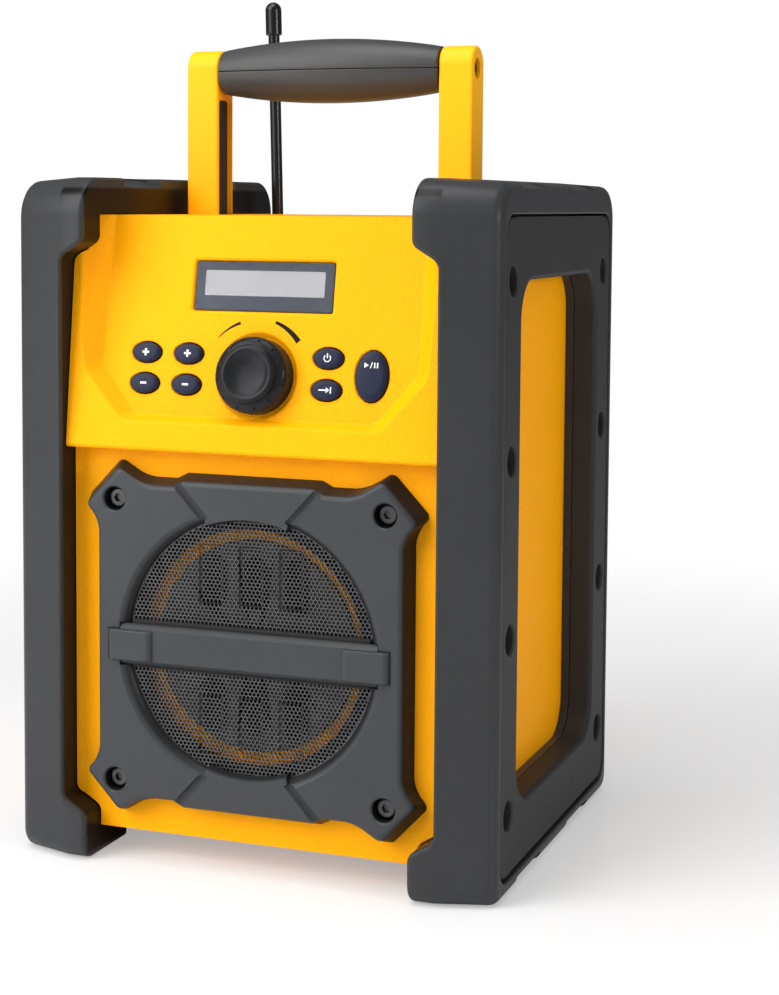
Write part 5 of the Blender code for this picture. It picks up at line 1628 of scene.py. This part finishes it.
    def build_disc(self) -> None:
        """The perforated disc: one hexagonal cell, repeated, trimmed and dented, inside a plain rim."""
        pitch, row = self.hole_pitch, self.hole_pitch * math.sqrt(3)
        count = int(2 * self.disc_radius / pitch) + 3
        rows = int(2 * self.disc_radius / row) + 3
        start = (-(count // 2) * pitch, -(rows // 2) * row, self.disc_front)
        circle = {"vertices": HEXAGON, "radius": self.hole_radius, "location": start}
        disc = Piece.added("speaker_grille", bpy.ops.mesh.primitive_circle_add, **circle)
        scale = pitch / math.sqrt(3) / self.hole_radius
        with disc.editing():
            bpy.ops.mesh.select_all(action="SELECT")
            bpy.ops.mesh.extrude_region_move()
            bpy.ops.transform.resize(value=(scale, scale, 1), center_override=start)
            bpy.ops.mesh.select_all(action="SELECT")
            bpy.ops.mesh.normals_make_consistent(inside=False)
        array = {"use_relative_offset": False, "use_constant_offset": True, "use_merge_vertices": True}
        array["merge_threshold"] = NEAR
        for number, offset in ((2, (pitch / 2, row / 2, 0)), (count, (pitch, 0, 0)), (rows, (0, row, 0))):
            disc.apply("ARRAY", count=number, constant_offset_displace=offset, **array)
        limit = self.disc_radius - self.disc_rim / 2
        with disc.editing():
            disc.mend()
            disc.pick(Kind.FACES, lambda f: middle(f).xy.length > limit)
            bpy.ops.mesh.delete(type="FACE")
            bpy.ops.mesh.select_all(action="SELECT")
            bpy.ops.mesh.normals_make_consistent(inside=False)
        disc.apply("SOLIDIFY", thickness=self.disc_front - self.disc_back, offset=-1.0)
        disc.edit(Kind.VERTS, self.in_dent, bpy.ops.transform.translate, value=(0, 0, -self.dent_depth))
        inner, outer = self.disc_radius - self.disc_rim, self.disc_radius
        front, back = self.disc_front + self.rim_proud, self.disc_back - self.rim_proud
        profile = [(inner, front), (outer, front), (outer, back), (inner, back)]
        disc.gather(Piece.turned("disc_rim", profile, FINE, closed=True))
        disc.place(SPEAKER).dress(Finishes.GRILLE, node="speaker_grille", slot="steel")

    def in_dent(self, vertex: bmesh.types.BMVert) -> bool:
        """Whether a vertex of the disc lies in a dent, above or below the crossbar."""
        aside = min(abs(vertex.co.x - column) for column in self.dent_columns)
        return self.dent_low < abs(vertex.co.y + self.bar_drop) < self.dent_high and aside < self.dent_half

    def build_gasket(self) -> None:
        """The dark foam ring between the baffle and the disc."""
        edge, inner, outer, back = self.gasket_edge, self.gasket_inner, self.disc_radius, self.gasket_back
        front = self.disc_back - GAP
        profile = [(inner, front - edge), (inner + edge, front), (outer - edge, front), (outer, front - edge)]
        profile += [(outer, back), (inner, back)]
        gasket = Piece.turned("grille_gasket", profile, FINE, closed=True)
        gasket.place(SPEAKER).dress(Finishes.FOAM, slot="black_plastic")

    def build_louvre(self) -> None:
        """The slotted plate behind the disc."""
        back, front, radius = self.louvre_back, self.louvre_front, self.louvre_radius
        profile = [(0, front), (radius - GAP, front), (radius, front - GAP), (radius, back), (0, back)]
        louvre = Piece.turned("speaker_louvre", profile, FINE)
        for across in self.slot_columns:
            for way in (-1, 1):
                low, high = sorted((way * self.slot_low, way * self.slot_high))
                near_side = (across - self.slot_half, low, back - MM)
                slot = Piece.box("slot", near_side, (across + self.slot_half, high, front + MM))
                louvre.cut(slot.soften(lambda e: runs_along(e, 2), self.slot_round * self.slot_half, 8))
        inside = radius - MM
        louvre.soften(
            lambda e: sharp(e, 60) and near(middle(e).z, front) and middle(e).xy.length < inside,
            self.slot_edge,
            2,
        )
        louvre.place(SPEAKER).dress(Finishes.LOUVRE, node="speaker_louvre", slot="black_plastic")


@dataclass
class Key:
    """One oval key of the panel."""

    name: str
    place: Point
    symbol: Symbol
    size: Point = mm(11, 7)


@dataclass
class Panel:
    """The controls on the leaning panel: keys, knob, printed marks and display."""

    key_top: float = 1.2 * MM
    key_crown: Sequence[Point] = ((0.62, 0), (0.78, 0.06), (0.9, 0.22), (0.97, 0.5), (1.0, 0.95))
    key_hole: Sequence[Point] = ((0, 0.5), (1.16, 0.5), (1, -0.4), (1, -6), (0, -6))
    flange_top: float = -3.3 * MM
    flange_bottom: float = -4.3 * MM
    flange: float = 1 * MM
    ink: float = 0.06 * MM
    knob_drop: float = 1.5 * MM
    knob_profile: Sequence[Point] = (
        (0, 7.2), (2.43, 7.21053), (4.455, 7.318958), (6.075, 7.611328), (7.29, 8.05293), (8.1, 8.5),
        (8.8, 8.5), (9.5, 8.38), (9.9, 8), (10, 7.4), (10.1, 7.05), (10.4, 6.9), (11.55, 6.6), (12.55, 5.9),
        (13.1, 4.8), (13.25, 3.7), (13.25, -1.2), (3.3, -1.2), (3.3, 5.3), (0, 5.3),
    )
    dimples: int = 12
    dimple_ring: float = 11.95 * MM
    dimple_profile: Sequence[Point] = ((0, 7.9), (0.62, 7.9), (0.62, 6.2), (0, 5.7))
    dish_profile: Sequence[Point] = (
        (0, 0.5), (16.2, 0.5), (14.9, -0.3), (13.55, -1.5), (3.3, -1.5), (3.3, -10), (0, -10),
    )
    display_rise: float = 29.5 * MM
    window_half: Point = mm(25.7, 8.5)
    window_front: float = -0.6 * MM
    window_back: float = -2 * MM
    window_corner: float = 0.7 * MM
    window_edge: float = 0.2 * MM
    pane: float = 0.4 * MM
    ledge: float = 3 * MM
    sight_low: Point = mm(-22.3, -3.3)
    sight_high: Point = mm(22.3, 5.5)
    sight_edge: float = 0.15 * MM
    pocket_corner: float = 0.8 * MM
    pocket_rim: float = 1.2 * MM
    arc_radius: float = 20.1 * MM
    arc_steps: int = 16
    arcs: Mapping[str, Sequence[float]] = field(
        default_factory=lambda: {
            "volume_arc_low": (140, 112, *mm(0.25, 1)),
            "volume_arc_high": (73, 40, *mm(1, 2)),
        }
    )
    keys: Sequence[Key] = (
        Key("tune_up", mm(-42, 5.5), Symbol.PLUS),
        Key("tune_down", mm(-42, -5.3), Symbol.MINUS),
        Key("preset_up", mm(-26, 5.5), Symbol.PLUS),
        Key("preset_down", mm(-26, -5.3), Symbol.MINUS),
        Key("power", mm(26, 5.5), Symbol.POWER),
        Key("source", mm(26, -5.3), Symbol.SOURCE),
        Key("play", mm(42, 0), Symbol.PLAY, mm(11.7, 17.4)),
    )

    def build(self) -> None:
        """Model the controls."""
        for key in self.keys:
            self.build_key(key)
        self.build_knob()
        self.build_display()
        self.build_arcs()

    def knob_place(self) -> Matrix:
        """The knob's own frame."""
        return PANEL @ shift(0, -self.knob_drop)

    def display_place(self) -> Matrix:
        """The display's own frame."""
        return PANEL @ shift(0, self.display_rise)

    def hole_tools(self) -> list[Piece]:
        """Cutters for the keys' holes, the knob's dish and the display.

        Returns:
            The tools, in place.
        """
        tools = []
        for key in self.keys:
            tool = Piece.turned("key_hole", [(share, height * MM) for share, height in self.key_hole])
            half = [size / 2 + GAP for size in key.size]
            tools.append(tool.spread(lambda v: True, (*half, 1)).place(PANEL @ shift(*key.place)))
        dish = Piece.turned("dish", [mm(*point) for point in self.dish_profile], FINE)
        half, height = (size + GAP for size in self.window_half)
        pocket = Piece.box("pocket", (-half, -height, self.window_back - GAP), (half, height, REACH / 2))
        pocket.soften(lambda e: runs_along(e, 2), self.pocket_corner, 4)
        half, height = (size - self.ledge for size in self.window_half)
        sight = Piece.box("sight", (-half, -height, -REACH / 2), (half, height, REACH / 2))
        place = self.display_place()
        return [*tools, dish.place(self.knob_place()), pocket.place(place), sight.place(place)]

    def round_pocket(self, shell: Piece) -> None:
        """Round the rim of the display's pocket.

        Args:
            shell: The front shell.
        """
        inverse = self.display_place().inverted()
        half, height = (size + 2 * GAP for size in self.window_half)

        def on_rim(edge: bmesh.types.BMEdge) -> bool:
            """Whether an edge lies on the rim."""
            place = inverse @ middle(edge)
            return sharp(edge, 60) and near(place.z, 0) and abs(place.x) < half and abs(place.y) < height

        shell.soften(on_rim, self.pocket_rim)

    def build_key(self, key: Key) -> None:
        """One key with a soft rounded top, its flange and its printed symbol.

        Args:
            key: The key.
        """
        half = [size / 2 for size in key.size]
        flare = 1 + self.flange / half[0]
        profile = [(0.0, self.key_top)]
        profile += [(share, self.key_top - fall * MM) for share, fall in self.key_crown]
        profile += [(1.0, self.flange_top), (flare, self.flange_top)]
        profile += [(flare, self.flange_bottom), (0.0, self.flange_bottom)]
        name, body, place = f"{key.name}_button", f"{key.name}_key", PANEL @ shift(*key.place)
        cap = Piece.turned(name, profile).spread(lambda v: True, (*half, 1))
        cap.place(place).dress(Finishes.KEY, body, name, "key_rubber")
        first, *others = [self.stroke(corners) for corners in self.outlines(key.symbol)]
        mark = first.gather(*others).called(f"{key.name}_symbol")
        mark.place(place).dress(Finishes.WHITE_INK, body)

    def stroke(self, corners: Sequence[Point]) -> Piece:
        """A printed shape on a key, from its outline in millimetres."""
        low, high = self.key_top - self.ink, self.key_top + self.ink
        return Piece.slab("stroke", [mm(*corner) for corner in corners], low, high)

    def bar(self, x: float, y: float, width: float, height: float) -> list[Point]:
        """The outline of a printed bar, in millimetres from the key's middle."""
        half, rise = width / 2, height / 2
        return [(x - half, y - rise), (x + half, y - rise), (x + half, y + rise), (x - half, y + rise)]

    def outlines(self, symbol: Symbol) -> list[list[Point]]:
        """The outlines of a symbol's strokes, in millimetres from the key's middle.

        Args:
            symbol: Which symbol.

        Returns:
            One outline for each stroke.
        """
        arm, stem = 0.36, 1.25
        plus = [(arm, -stem), (arm, -arm), (stem, -arm), (stem, arm), (arm, arm), (arm, stem)]
        ring = arc(1.35, 130, 410, 28) + arc(1.0, 410, 130, 28)
        arrow = [(0.3, -1.0), (1.5, 0.0), (0.3, 1.0)]
        triangle = [(-2.5, 2.7), (-0.9, 3.6), (-2.5, 4.5)]
        slash = [(-0.5, 2.6), (-0.15, 2.6), (0.5, 4.6), (0.15, 4.6)]
        return {
            Symbol.PLUS: [both_sides(plus)],
            Symbol.MINUS: [self.bar(0, 0, 2.3, 0.72)],
            Symbol.POWER: [ring, self.bar(0, 0.85, 0.38, 1.7)],
            Symbol.SOURCE: [arrow, self.bar(-1.0, 0, 2.8, 0.42), self.bar(2.0, 0, 0.42, 2.2)],
            Symbol.PLAY: [triangle, slash, self.bar(1.2, 3.6, 0.45, 1.8), self.bar(2.2, 3.6, 0.45, 1.8)],
        }[symbol]

    def build_knob(self) -> None:
        """The volume knob: dimpled ring, raised cap with a crest, and a dished middle."""
        knob = Piece.turned("volume_knob", [mm(*point) for point in self.knob_profile], FINE)
        dimple = Piece.turned("dimple", [mm(*point) for point in self.dimple_profile], 16)
        turn = 360 / self.dimples
        centres = arc(self.dimple_ring, turn / 2, 360 + turn / 2, self.dimples)[:-1]
        knob.cut_at(dimple, [shift(*centre) for centre in centres])
        knob.place(self.knob_place()).dress(Finishes.KNOB, "knob", "volume_knob", "black_plastic")

    def build_display(self) -> None:
        """The display's dark border, its glass and the clear pane over them."""
        half, height = self.window_half
        place = self.display_place()
        step = self.window_front - self.pane
        border = Piece.box("display_border", (-half, -height, self.window_back), (half, height, step - NEAR))
        border.soften(lambda e: runs_along(e, 2), self.window_corner, 4)
        sight_low = (*self.sight_low, self.window_back - MM)
        border.cut(Piece.box("sight", sight_low, (*self.sight_high, step + MM)))
        border.soften(lambda e: sharp(e, 60) and middle(e).z > step - self.sight_edge, self.sight_edge, 2)
        border.place(place).dress(Finishes.BEZEL, slot="clear_plastic")
        glass_low = (self.sight_low[0] - GAP, self.sight_low[1] - GAP, self.window_back + 0.1 * MM)
        glass_high = (self.sight_high[0] + GAP, self.sight_high[1] + GAP, step - self.sight_edge)
        glass = Piece.box("display_glass", glass_low, glass_high)
        glass.soften(lambda e: runs_along(e, 2), self.window_edge, 2)
        glass.place(place).dress(Finishes.DISPLAY, slot="grey_display")
        pane = Piece.box("display_window", (-half, -height, step), (half, height, self.window_front))
        pane.soften(lambda e: runs_along(e, 2), self.window_corner, 4)
        pane.soften(lambda e: sharp(e, 60) and near(middle(e).z, self.window_front), self.window_edge, 2)
        pane.place(place).dress(Finishes.PANE, node="display_window", slot="clear_plastic")

    def build_arcs(self) -> None:
        """The two printed arcs over the knob: a thin one and a thick one."""
        for name, (start, end, thin, thick) in self.arcs.items():
            outer = arc(self.arc_radius, start, end, self.arc_steps)
            inner = []
            for number, (x, y) in enumerate(outer):
                share = 1 - (thin + (thick - thin) * number / self.arc_steps) / self.arc_radius
                inner.append((x * share, y * share))
            mark = Piece.slab(name, outer + inner[::-1], -self.ink, self.ink)
            mark.place(self.knob_place()).dress(Finishes.BLACK_INK)


@dataclass
class Handle:
    """Two arms, the grip in two halves and the bolt through them."""

    arm_inner: float = 43.5 * MM
    arm_outer: float = 56.3 * MM
    half_depth: float = 6.9 * MM
    foot: float = 198.3 * MM
    top: float = 288.4 * MM
    arm_edge: float = 1 * MM
    arm_round: float = 0.999
    # The black strip in each arm's channel is painted shade.
    shade_strip_half: float = 5.7 * MM
    shade_strip_foot: float = 221 * MM
    shade_strip_top: float = 270 * MM
    shade_strip_sunk: float = 2 * MM
    shade_strip_thickness: float = 0.8 * MM
    shade_strip_corner: float = 1.5 * MM
    shade_strip_play: float = 0.05 * MM
    grip_height: float = 280.2 * MM
    grip_end: float = 8.2 * MM
    grip_middle: float = 11.8 * MM
    grip_edge: float = 0.8 * MM
    grip_stations: int = 24
    seam: float = 0.3 * MM
    bolt_seat: float = 52.3 * MM
    bolt_head: float = 2.5 * MM
    bolt_head_radius: float = 3.4 * MM
    bolt_radius: float = 2.9 * MM
    bolt_edge: float = 0.4 * MM
    bolt_hole_edge: float = 0.5 * MM
    drive_depth: float = 1.5 * MM
    drive_share: float = 0.55

    def build(self) -> None:
        """Model the handle."""
        place = RIGHT @ shift(0, self.grip_height)
        self.build_arms(place)
        self.build_grip(place)
        self.build_bolt(place)

    def build_arms(self, place: Matrix) -> None:
        """The right arm with its round top, bolt hole and a channel holding a black strip of painted shade,
        mirrored to the left.

        Args:
            place: The grip's frame.
        """
        low = (self.arm_inner, -self.half_depth, self.foot)
        arm = Piece.box("right_handle_arm", low, (self.arm_outer, self.half_depth, self.top))
        top_round = self.arm_round * self.half_depth
        arm.soften(lambda e: runs_along(e, 0) and near(middle(e).z, self.top), top_round, 16)
        arm.soften(lambda e: sharp(e, 60) and middle(e).z > self.foot + NEAR, self.arm_edge, 4)
        head = (self.bolt_head_radius + GAP, self.bolt_seat - GAP)
        shank = (self.bolt_radius + GAP, self.arm_inner - MM)
        arm.cut(Piece.hole("bolt_hole", self.arm_outer, self.bolt_hole_edge, head, shank).place(place))
        # The channel gets a black strip: painted shade deep in the channel on the arm's inner side.
        floor = self.arm_inner + self.shade_strip_sunk
        back = floor + self.shade_strip_thickness
        arm.cut(self.shade_strip("shade_strip_room", self.arm_inner - MM, back))
        shade_strip = self.shade_strip("right_arm_shade_strip", floor, back - self.shade_strip_play)
        arm.dress_both(Finishes.ARM, "handle_arm", "yellow_plastic")
        shade_strip.dress_both(Finishes.PLATE, "arm_shade_strip", "black_plastic", packed=False)

    def shade_strip(self, name: str, inner: float, outer: float) -> Piece:
        """A strip along the inner side of the right arm, between two places across it; it shapes the channel
        and the black strip of painted shade in it.
        """
        low, high = (inner, -self.shade_strip_half, self.shade_strip_foot), (outer, self.shade_strip_half, self.shade_strip_top)
        return Piece.box(name, low, high).soften(lambda e: runs_along(e, 0), self.shade_strip_corner, 4)

    def build_grip(self, place: Matrix) -> None:
        """The barrel, split at the seam along its middle.

        Args:
            place: The grip's frame.
        """
        half, edge = self.arm_inner - GAP, self.grip_edge
        end, channel = self.grip_end - edge, self.bolt_radius + GAP
        profile = [(end, half)]
        for station in range(self.grip_stations + 1):
            share = 1 - 2 * station / self.grip_stations
            reach = half - edge / 2 if abs(share) == 1 else half
            profile.append((self.grip_middle - (self.grip_middle - self.grip_end) * share**2, reach * share))
        profile += [(end, -half), (channel, -half), (channel, half)]
        barrel = Piece.turned("grip", profile, 64, closed=True).place(place)
        for name, way in (("grip_upper_half", 1), ("grip_lower_half", -1)):
            level = self.grip_height + way * GAP / 3
            part = barrel.copy(name).slice((0, 0, level), (0, 0, -way), use_fill=True, clear_outer=True)
            part.soften(
                lambda e: sharp(e, 60) and near(middle(e).z, level) and abs(middle(e).y) > end, self.seam, 2
            )
            part.dress(Finishes.GRIP, node=name, slot="black_plastic")
        barrel.remove()

    def build_bolt(self, place: Matrix) -> None:
        """The bolt, with a hexagon in each head.

        Args:
            place: The grip's frame.
        """
        seat, end = self.bolt_seat, self.bolt_seat + self.bolt_head
        edge, head = self.bolt_edge, self.bolt_head_radius
        half = [(0, end), (head - edge, end), (head, end - edge), (head, seat), (self.bolt_radius, seat)]
        profile = half + [(radius, -height) for radius, height in reversed(half)]
        bolt = Piece.turned("handle_bolt", profile, ROUND)
        for way in (-1, 1):
            low, high = sorted((way * (end - self.drive_depth), way * (end + MM)))
            bolt.cut(Piece.rod("drive", self.drive_share * head, low, high, HEXAGON))
        bolt.place(place).dress(Finishes.BLACK_STEEL, node="handle_bolt", slot="black_steel")


@dataclass
class Antenna:
    """The whip with its tip and eye, and the shoulder screw that it swings on."""

    pivot: Point = mm(-52.7, 71.6, 214)
    lean: float = math.radians(-1.5)
    length: float = 100 * MM
    rod_radius: float = 2.3 * MM
    tip_radius: float = 3.3 * MM
    tip_length: float = 13.5 * MM
    tip_edge: float = 0.4 * MM
    eye_radius: float = 5.8 * MM
    eye_thickness: float = 6.4 * MM
    eye_edge: float = 0.7 * MM
    bore: float = 2.3 * MM
    screw: Screw = field(default_factory=lambda: Screw(*mm(4.2, 2.4, 2, 16.8), Drive.CROSS, drive_share=0.55))

    def build(self) -> None:
        """Model the whip and its screw."""
        tip, edge, low = self.tip_radius, self.tip_edge, self.length - self.tip_length
        root = self.eye_radius / 2
        profile = [(0.0, self.length), *arc(tip, 75, 0, 5, self.length - tip)]
        profile += [(tip, low + edge), (tip - edge, low), (self.rod_radius, low)]
        profile += [(self.rod_radius, root), (0.0, root)]
        whip = Piece.turned("antenna_rod", profile, SMALL).place(Matrix.Rotation(self.lean, 4, "Y"))
        half, edge, radius = self.eye_thickness / 2, self.eye_edge, self.eye_radius
        rim = [(0, half), (radius - edge, half), (radius, half - edge)]
        eye = rim + [(across, -height) for across, height in reversed(rim)]
        whip.weld(Piece.turned("eye", eye, ROUND).place(REAR))
        whip.cut(Piece.rod("eye_hole", self.bore, -REACH, REACH, SMALL).place(REAR))
        pivot = Matrix.Translation(self.pivot)
        whip.place(pivot).dress(Finishes.ANTENNA, "antenna", "antenna_rod", "black_plastic")
        screw = self.screw.build("antenna_pivot").place(pivot @ REAR @ shift(0, 0, half + GAP))
        screw.dress(Finishes.BLACK_STEEL, node="antenna_pivot", slot="black_steel")


@dataclass
class InnerParts:
    """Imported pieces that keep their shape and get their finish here."""

    finishes: Mapping[str, Finish] = field(
        default_factory=lambda: {
            "speaker_basket": Finishes.BLACK_STEEL,
            "speaker_magnet": Finishes.STEEL,
            "speaker_surround": Finishes.PAPER,
            "speaker_cone": Finishes.PAPER,
            "encoder_shaft": Finishes.STEEL,
            "control_board": Finishes.BOARD,
            "main_board": Finishes.BOARD,
            "display_module": Finishes.DISPLAY,
            **{f"battery_cell_{number}": Finishes.CELL for number in range(1, 5)},
        }
    )

    def build(self) -> None:
        """Paint the pieces."""
        for name, finish in self.finishes.items():
            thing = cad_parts[name]
            thing.data.materials.clear()
            thing.data.materials.append(finish.material())
            LOG.info("%s keeps its shape", name)


@dataclass
class Studio:
    """Pale floor, white surroundings, soft lamps and the camera."""

    floor_size: float = 8.0
    floor_drop: float = 0.1 * MM
    floor_colour: Colour = (0.86, 0.86, 0.87)
    floor_roughness: float = 0.2
    glow_near: float = 0.2
    glow_far: float = 0.62
    glow_least: float = 0.36
    ambient: float = 0.47
    mirrored: float = 0.14
    camera_place: Point = (0.2717608, -0.6777006, 0.2310255)
    camera_yaw: float = math.radians(20.1887)
    camera_pitch: float = math.radians(4.2563)
    camera_roll: float = math.radians(0.4014)
    lens: float = 70.947
    lens_shift: Point = (0.0012, -0.1472)
    target: Point = (0.0, 0.0, 0.13)
    lamps: Mapping[str, tuple[Point, float, float]] = field(
        default_factory=lambda: {
            "key_lamp": ((-0.75, -1.0, 0.95), 1.0, 17.5),
            "side_lamp": ((1.3, -0.4, 0.45), 0.25, 4.2),
            "left_lamp": ((-0.35, -0.42, 0.2), 0.3, 0.75),
            "top_lamp": ((-0.1, -0.3, 1.35), 0.8, 10.0),
        }
    )

    def build(self) -> None:
        """Set up everything round the radio."""
        self.build_floor()
        self.build_world()
        for name, (place, size, power) in self.lamps.items():
            self.lamp(name, place, size, power)
        self.build_camera()
        bpy.context.scene.view_settings.view_transform = "Standard"

    def build_floor(self) -> None:
        """A large pale floor that glows to white away from the radio."""
        bpy.ops.object.select_all(action="DESELECT")
        bpy.ops.mesh.primitive_plane_add(size=self.floor_size, location=(0.0, 0.0, -self.floor_drop))
        floor = bpy.context.object
        floor.name = "floor"
        material = bpy.data.materials.new("floor")
        material.use_nodes = True
        graph = Graph(material.node_tree)
        shader = material.node_tree.nodes["Principled BSDF"]
        shader.inputs["Base Color"].default_value = (*self.floor_colour, 1.0)
        shader.inputs["Roughness"].default_value = self.floor_roughness
        camera = graph.node("ShaderNodeLightPath", output="Is Camera Ray")
        distance = graph.node("ShaderNodeVectorMath", {"operation": "LENGTH"}, {0: graph.place()}, "Value")
        share = self.glow_least + (1.0 - self.glow_least) * distance.ramp(self.glow_near, self.glow_far)
        glow = graph.node("ShaderNodeEmission", None, {"Color": (1, 1, 1, 1), "Strength": 1.0})
        surface = Signal(graph, shader.outputs["BSDF"])
        mixed = graph.node("ShaderNodeMixShader", None, {0: camera * share, 1: surface, 2: glow})
        output = material.node_tree.nodes["Material Output"]
        material.node_tree.links.new(mixed.socket, output.inputs["Surface"])
        floor.data.materials.append(material)

    def build_world(self) -> None:
        """White to the eye and through clear pieces, dark in reflections, one level of light elsewhere."""
        world = bpy.data.worlds.new("studio")
        bpy.context.scene.world = world
        world.use_nodes = True
        graph = Graph(world.node_tree)
        kinds = ("Camera", "Transmission", "Glossy")
        camera, clear, glossy = (graph.node("ShaderNodeLightPath", output=f"Is {kind} Ray") for kind in kinds)
        seen = (camera + clear).least(1.0)
        background = world.node_tree.nodes["Background"]
        background.inputs["Color"].default_value = (1.0, 1.0, 1.0, 1.0)
        strength = self.ambient + (1.0 - self.ambient) * seen - (self.ambient - self.mirrored) * glossy
        world.node_tree.links.new(strength.socket, background.inputs["Strength"])

    def lamp(self, name: str, place: Point, size: float, power: float) -> None:
        """A soft square lamp that faces the radio.

        Args:
            name: Name of the lamp.
            place: Where it hangs.
            size: Length of its side.
            power: Its power in watts.
        """
        bpy.ops.object.light_add(type="AREA", location=place)
        lamp = bpy.context.object
        lamp.name = name
        lamp.data.size = size
        lamp.data.energy = power
        lamp.rotation_euler = (Vector(self.target) - Vector(place)).to_track_quat("-Z", "Y").to_euler()

    def build_camera(self) -> None:
        """A camera where the photograph was taken from."""
        yaw, pitch = self.camera_yaw, self.camera_pitch
        ahead = Vector((-math.sin(yaw) * math.cos(pitch), math.cos(yaw) * math.cos(pitch), -math.sin(pitch)))
        right = Vector((math.cos(yaw), math.sin(yaw), 0.0))
        bpy.ops.object.camera_add()
        camera = bpy.context.object
        roll = Matrix.Rotation(self.camera_roll, 4, "Z")
        camera.matrix_world = axes(right, right.cross(ahead), self.camera_place) @ roll
        camera.data.lens = self.lens
        camera.data.shift_x, camera.data.shift_y = self.lens_shift
        bpy.context.scene.camera = camera


def main() -> None:
    """Build the radio's looks."""
    logging.basicConfig(level=logging.INFO, format="%(name)s: %(message)s")
    Studio().build()
    bumpers = Bumpers()
    panel = Panel()
    bumpers.build()
    SidePlates().build()
    FrontHousing().build(bumpers, panel)
    RearHousing().build()
    SpeakerFront().build()
    panel.build()
    Handle().build()
    Antenna().build()
    InnerParts().build()


if __name__ == "__main__":
    main()
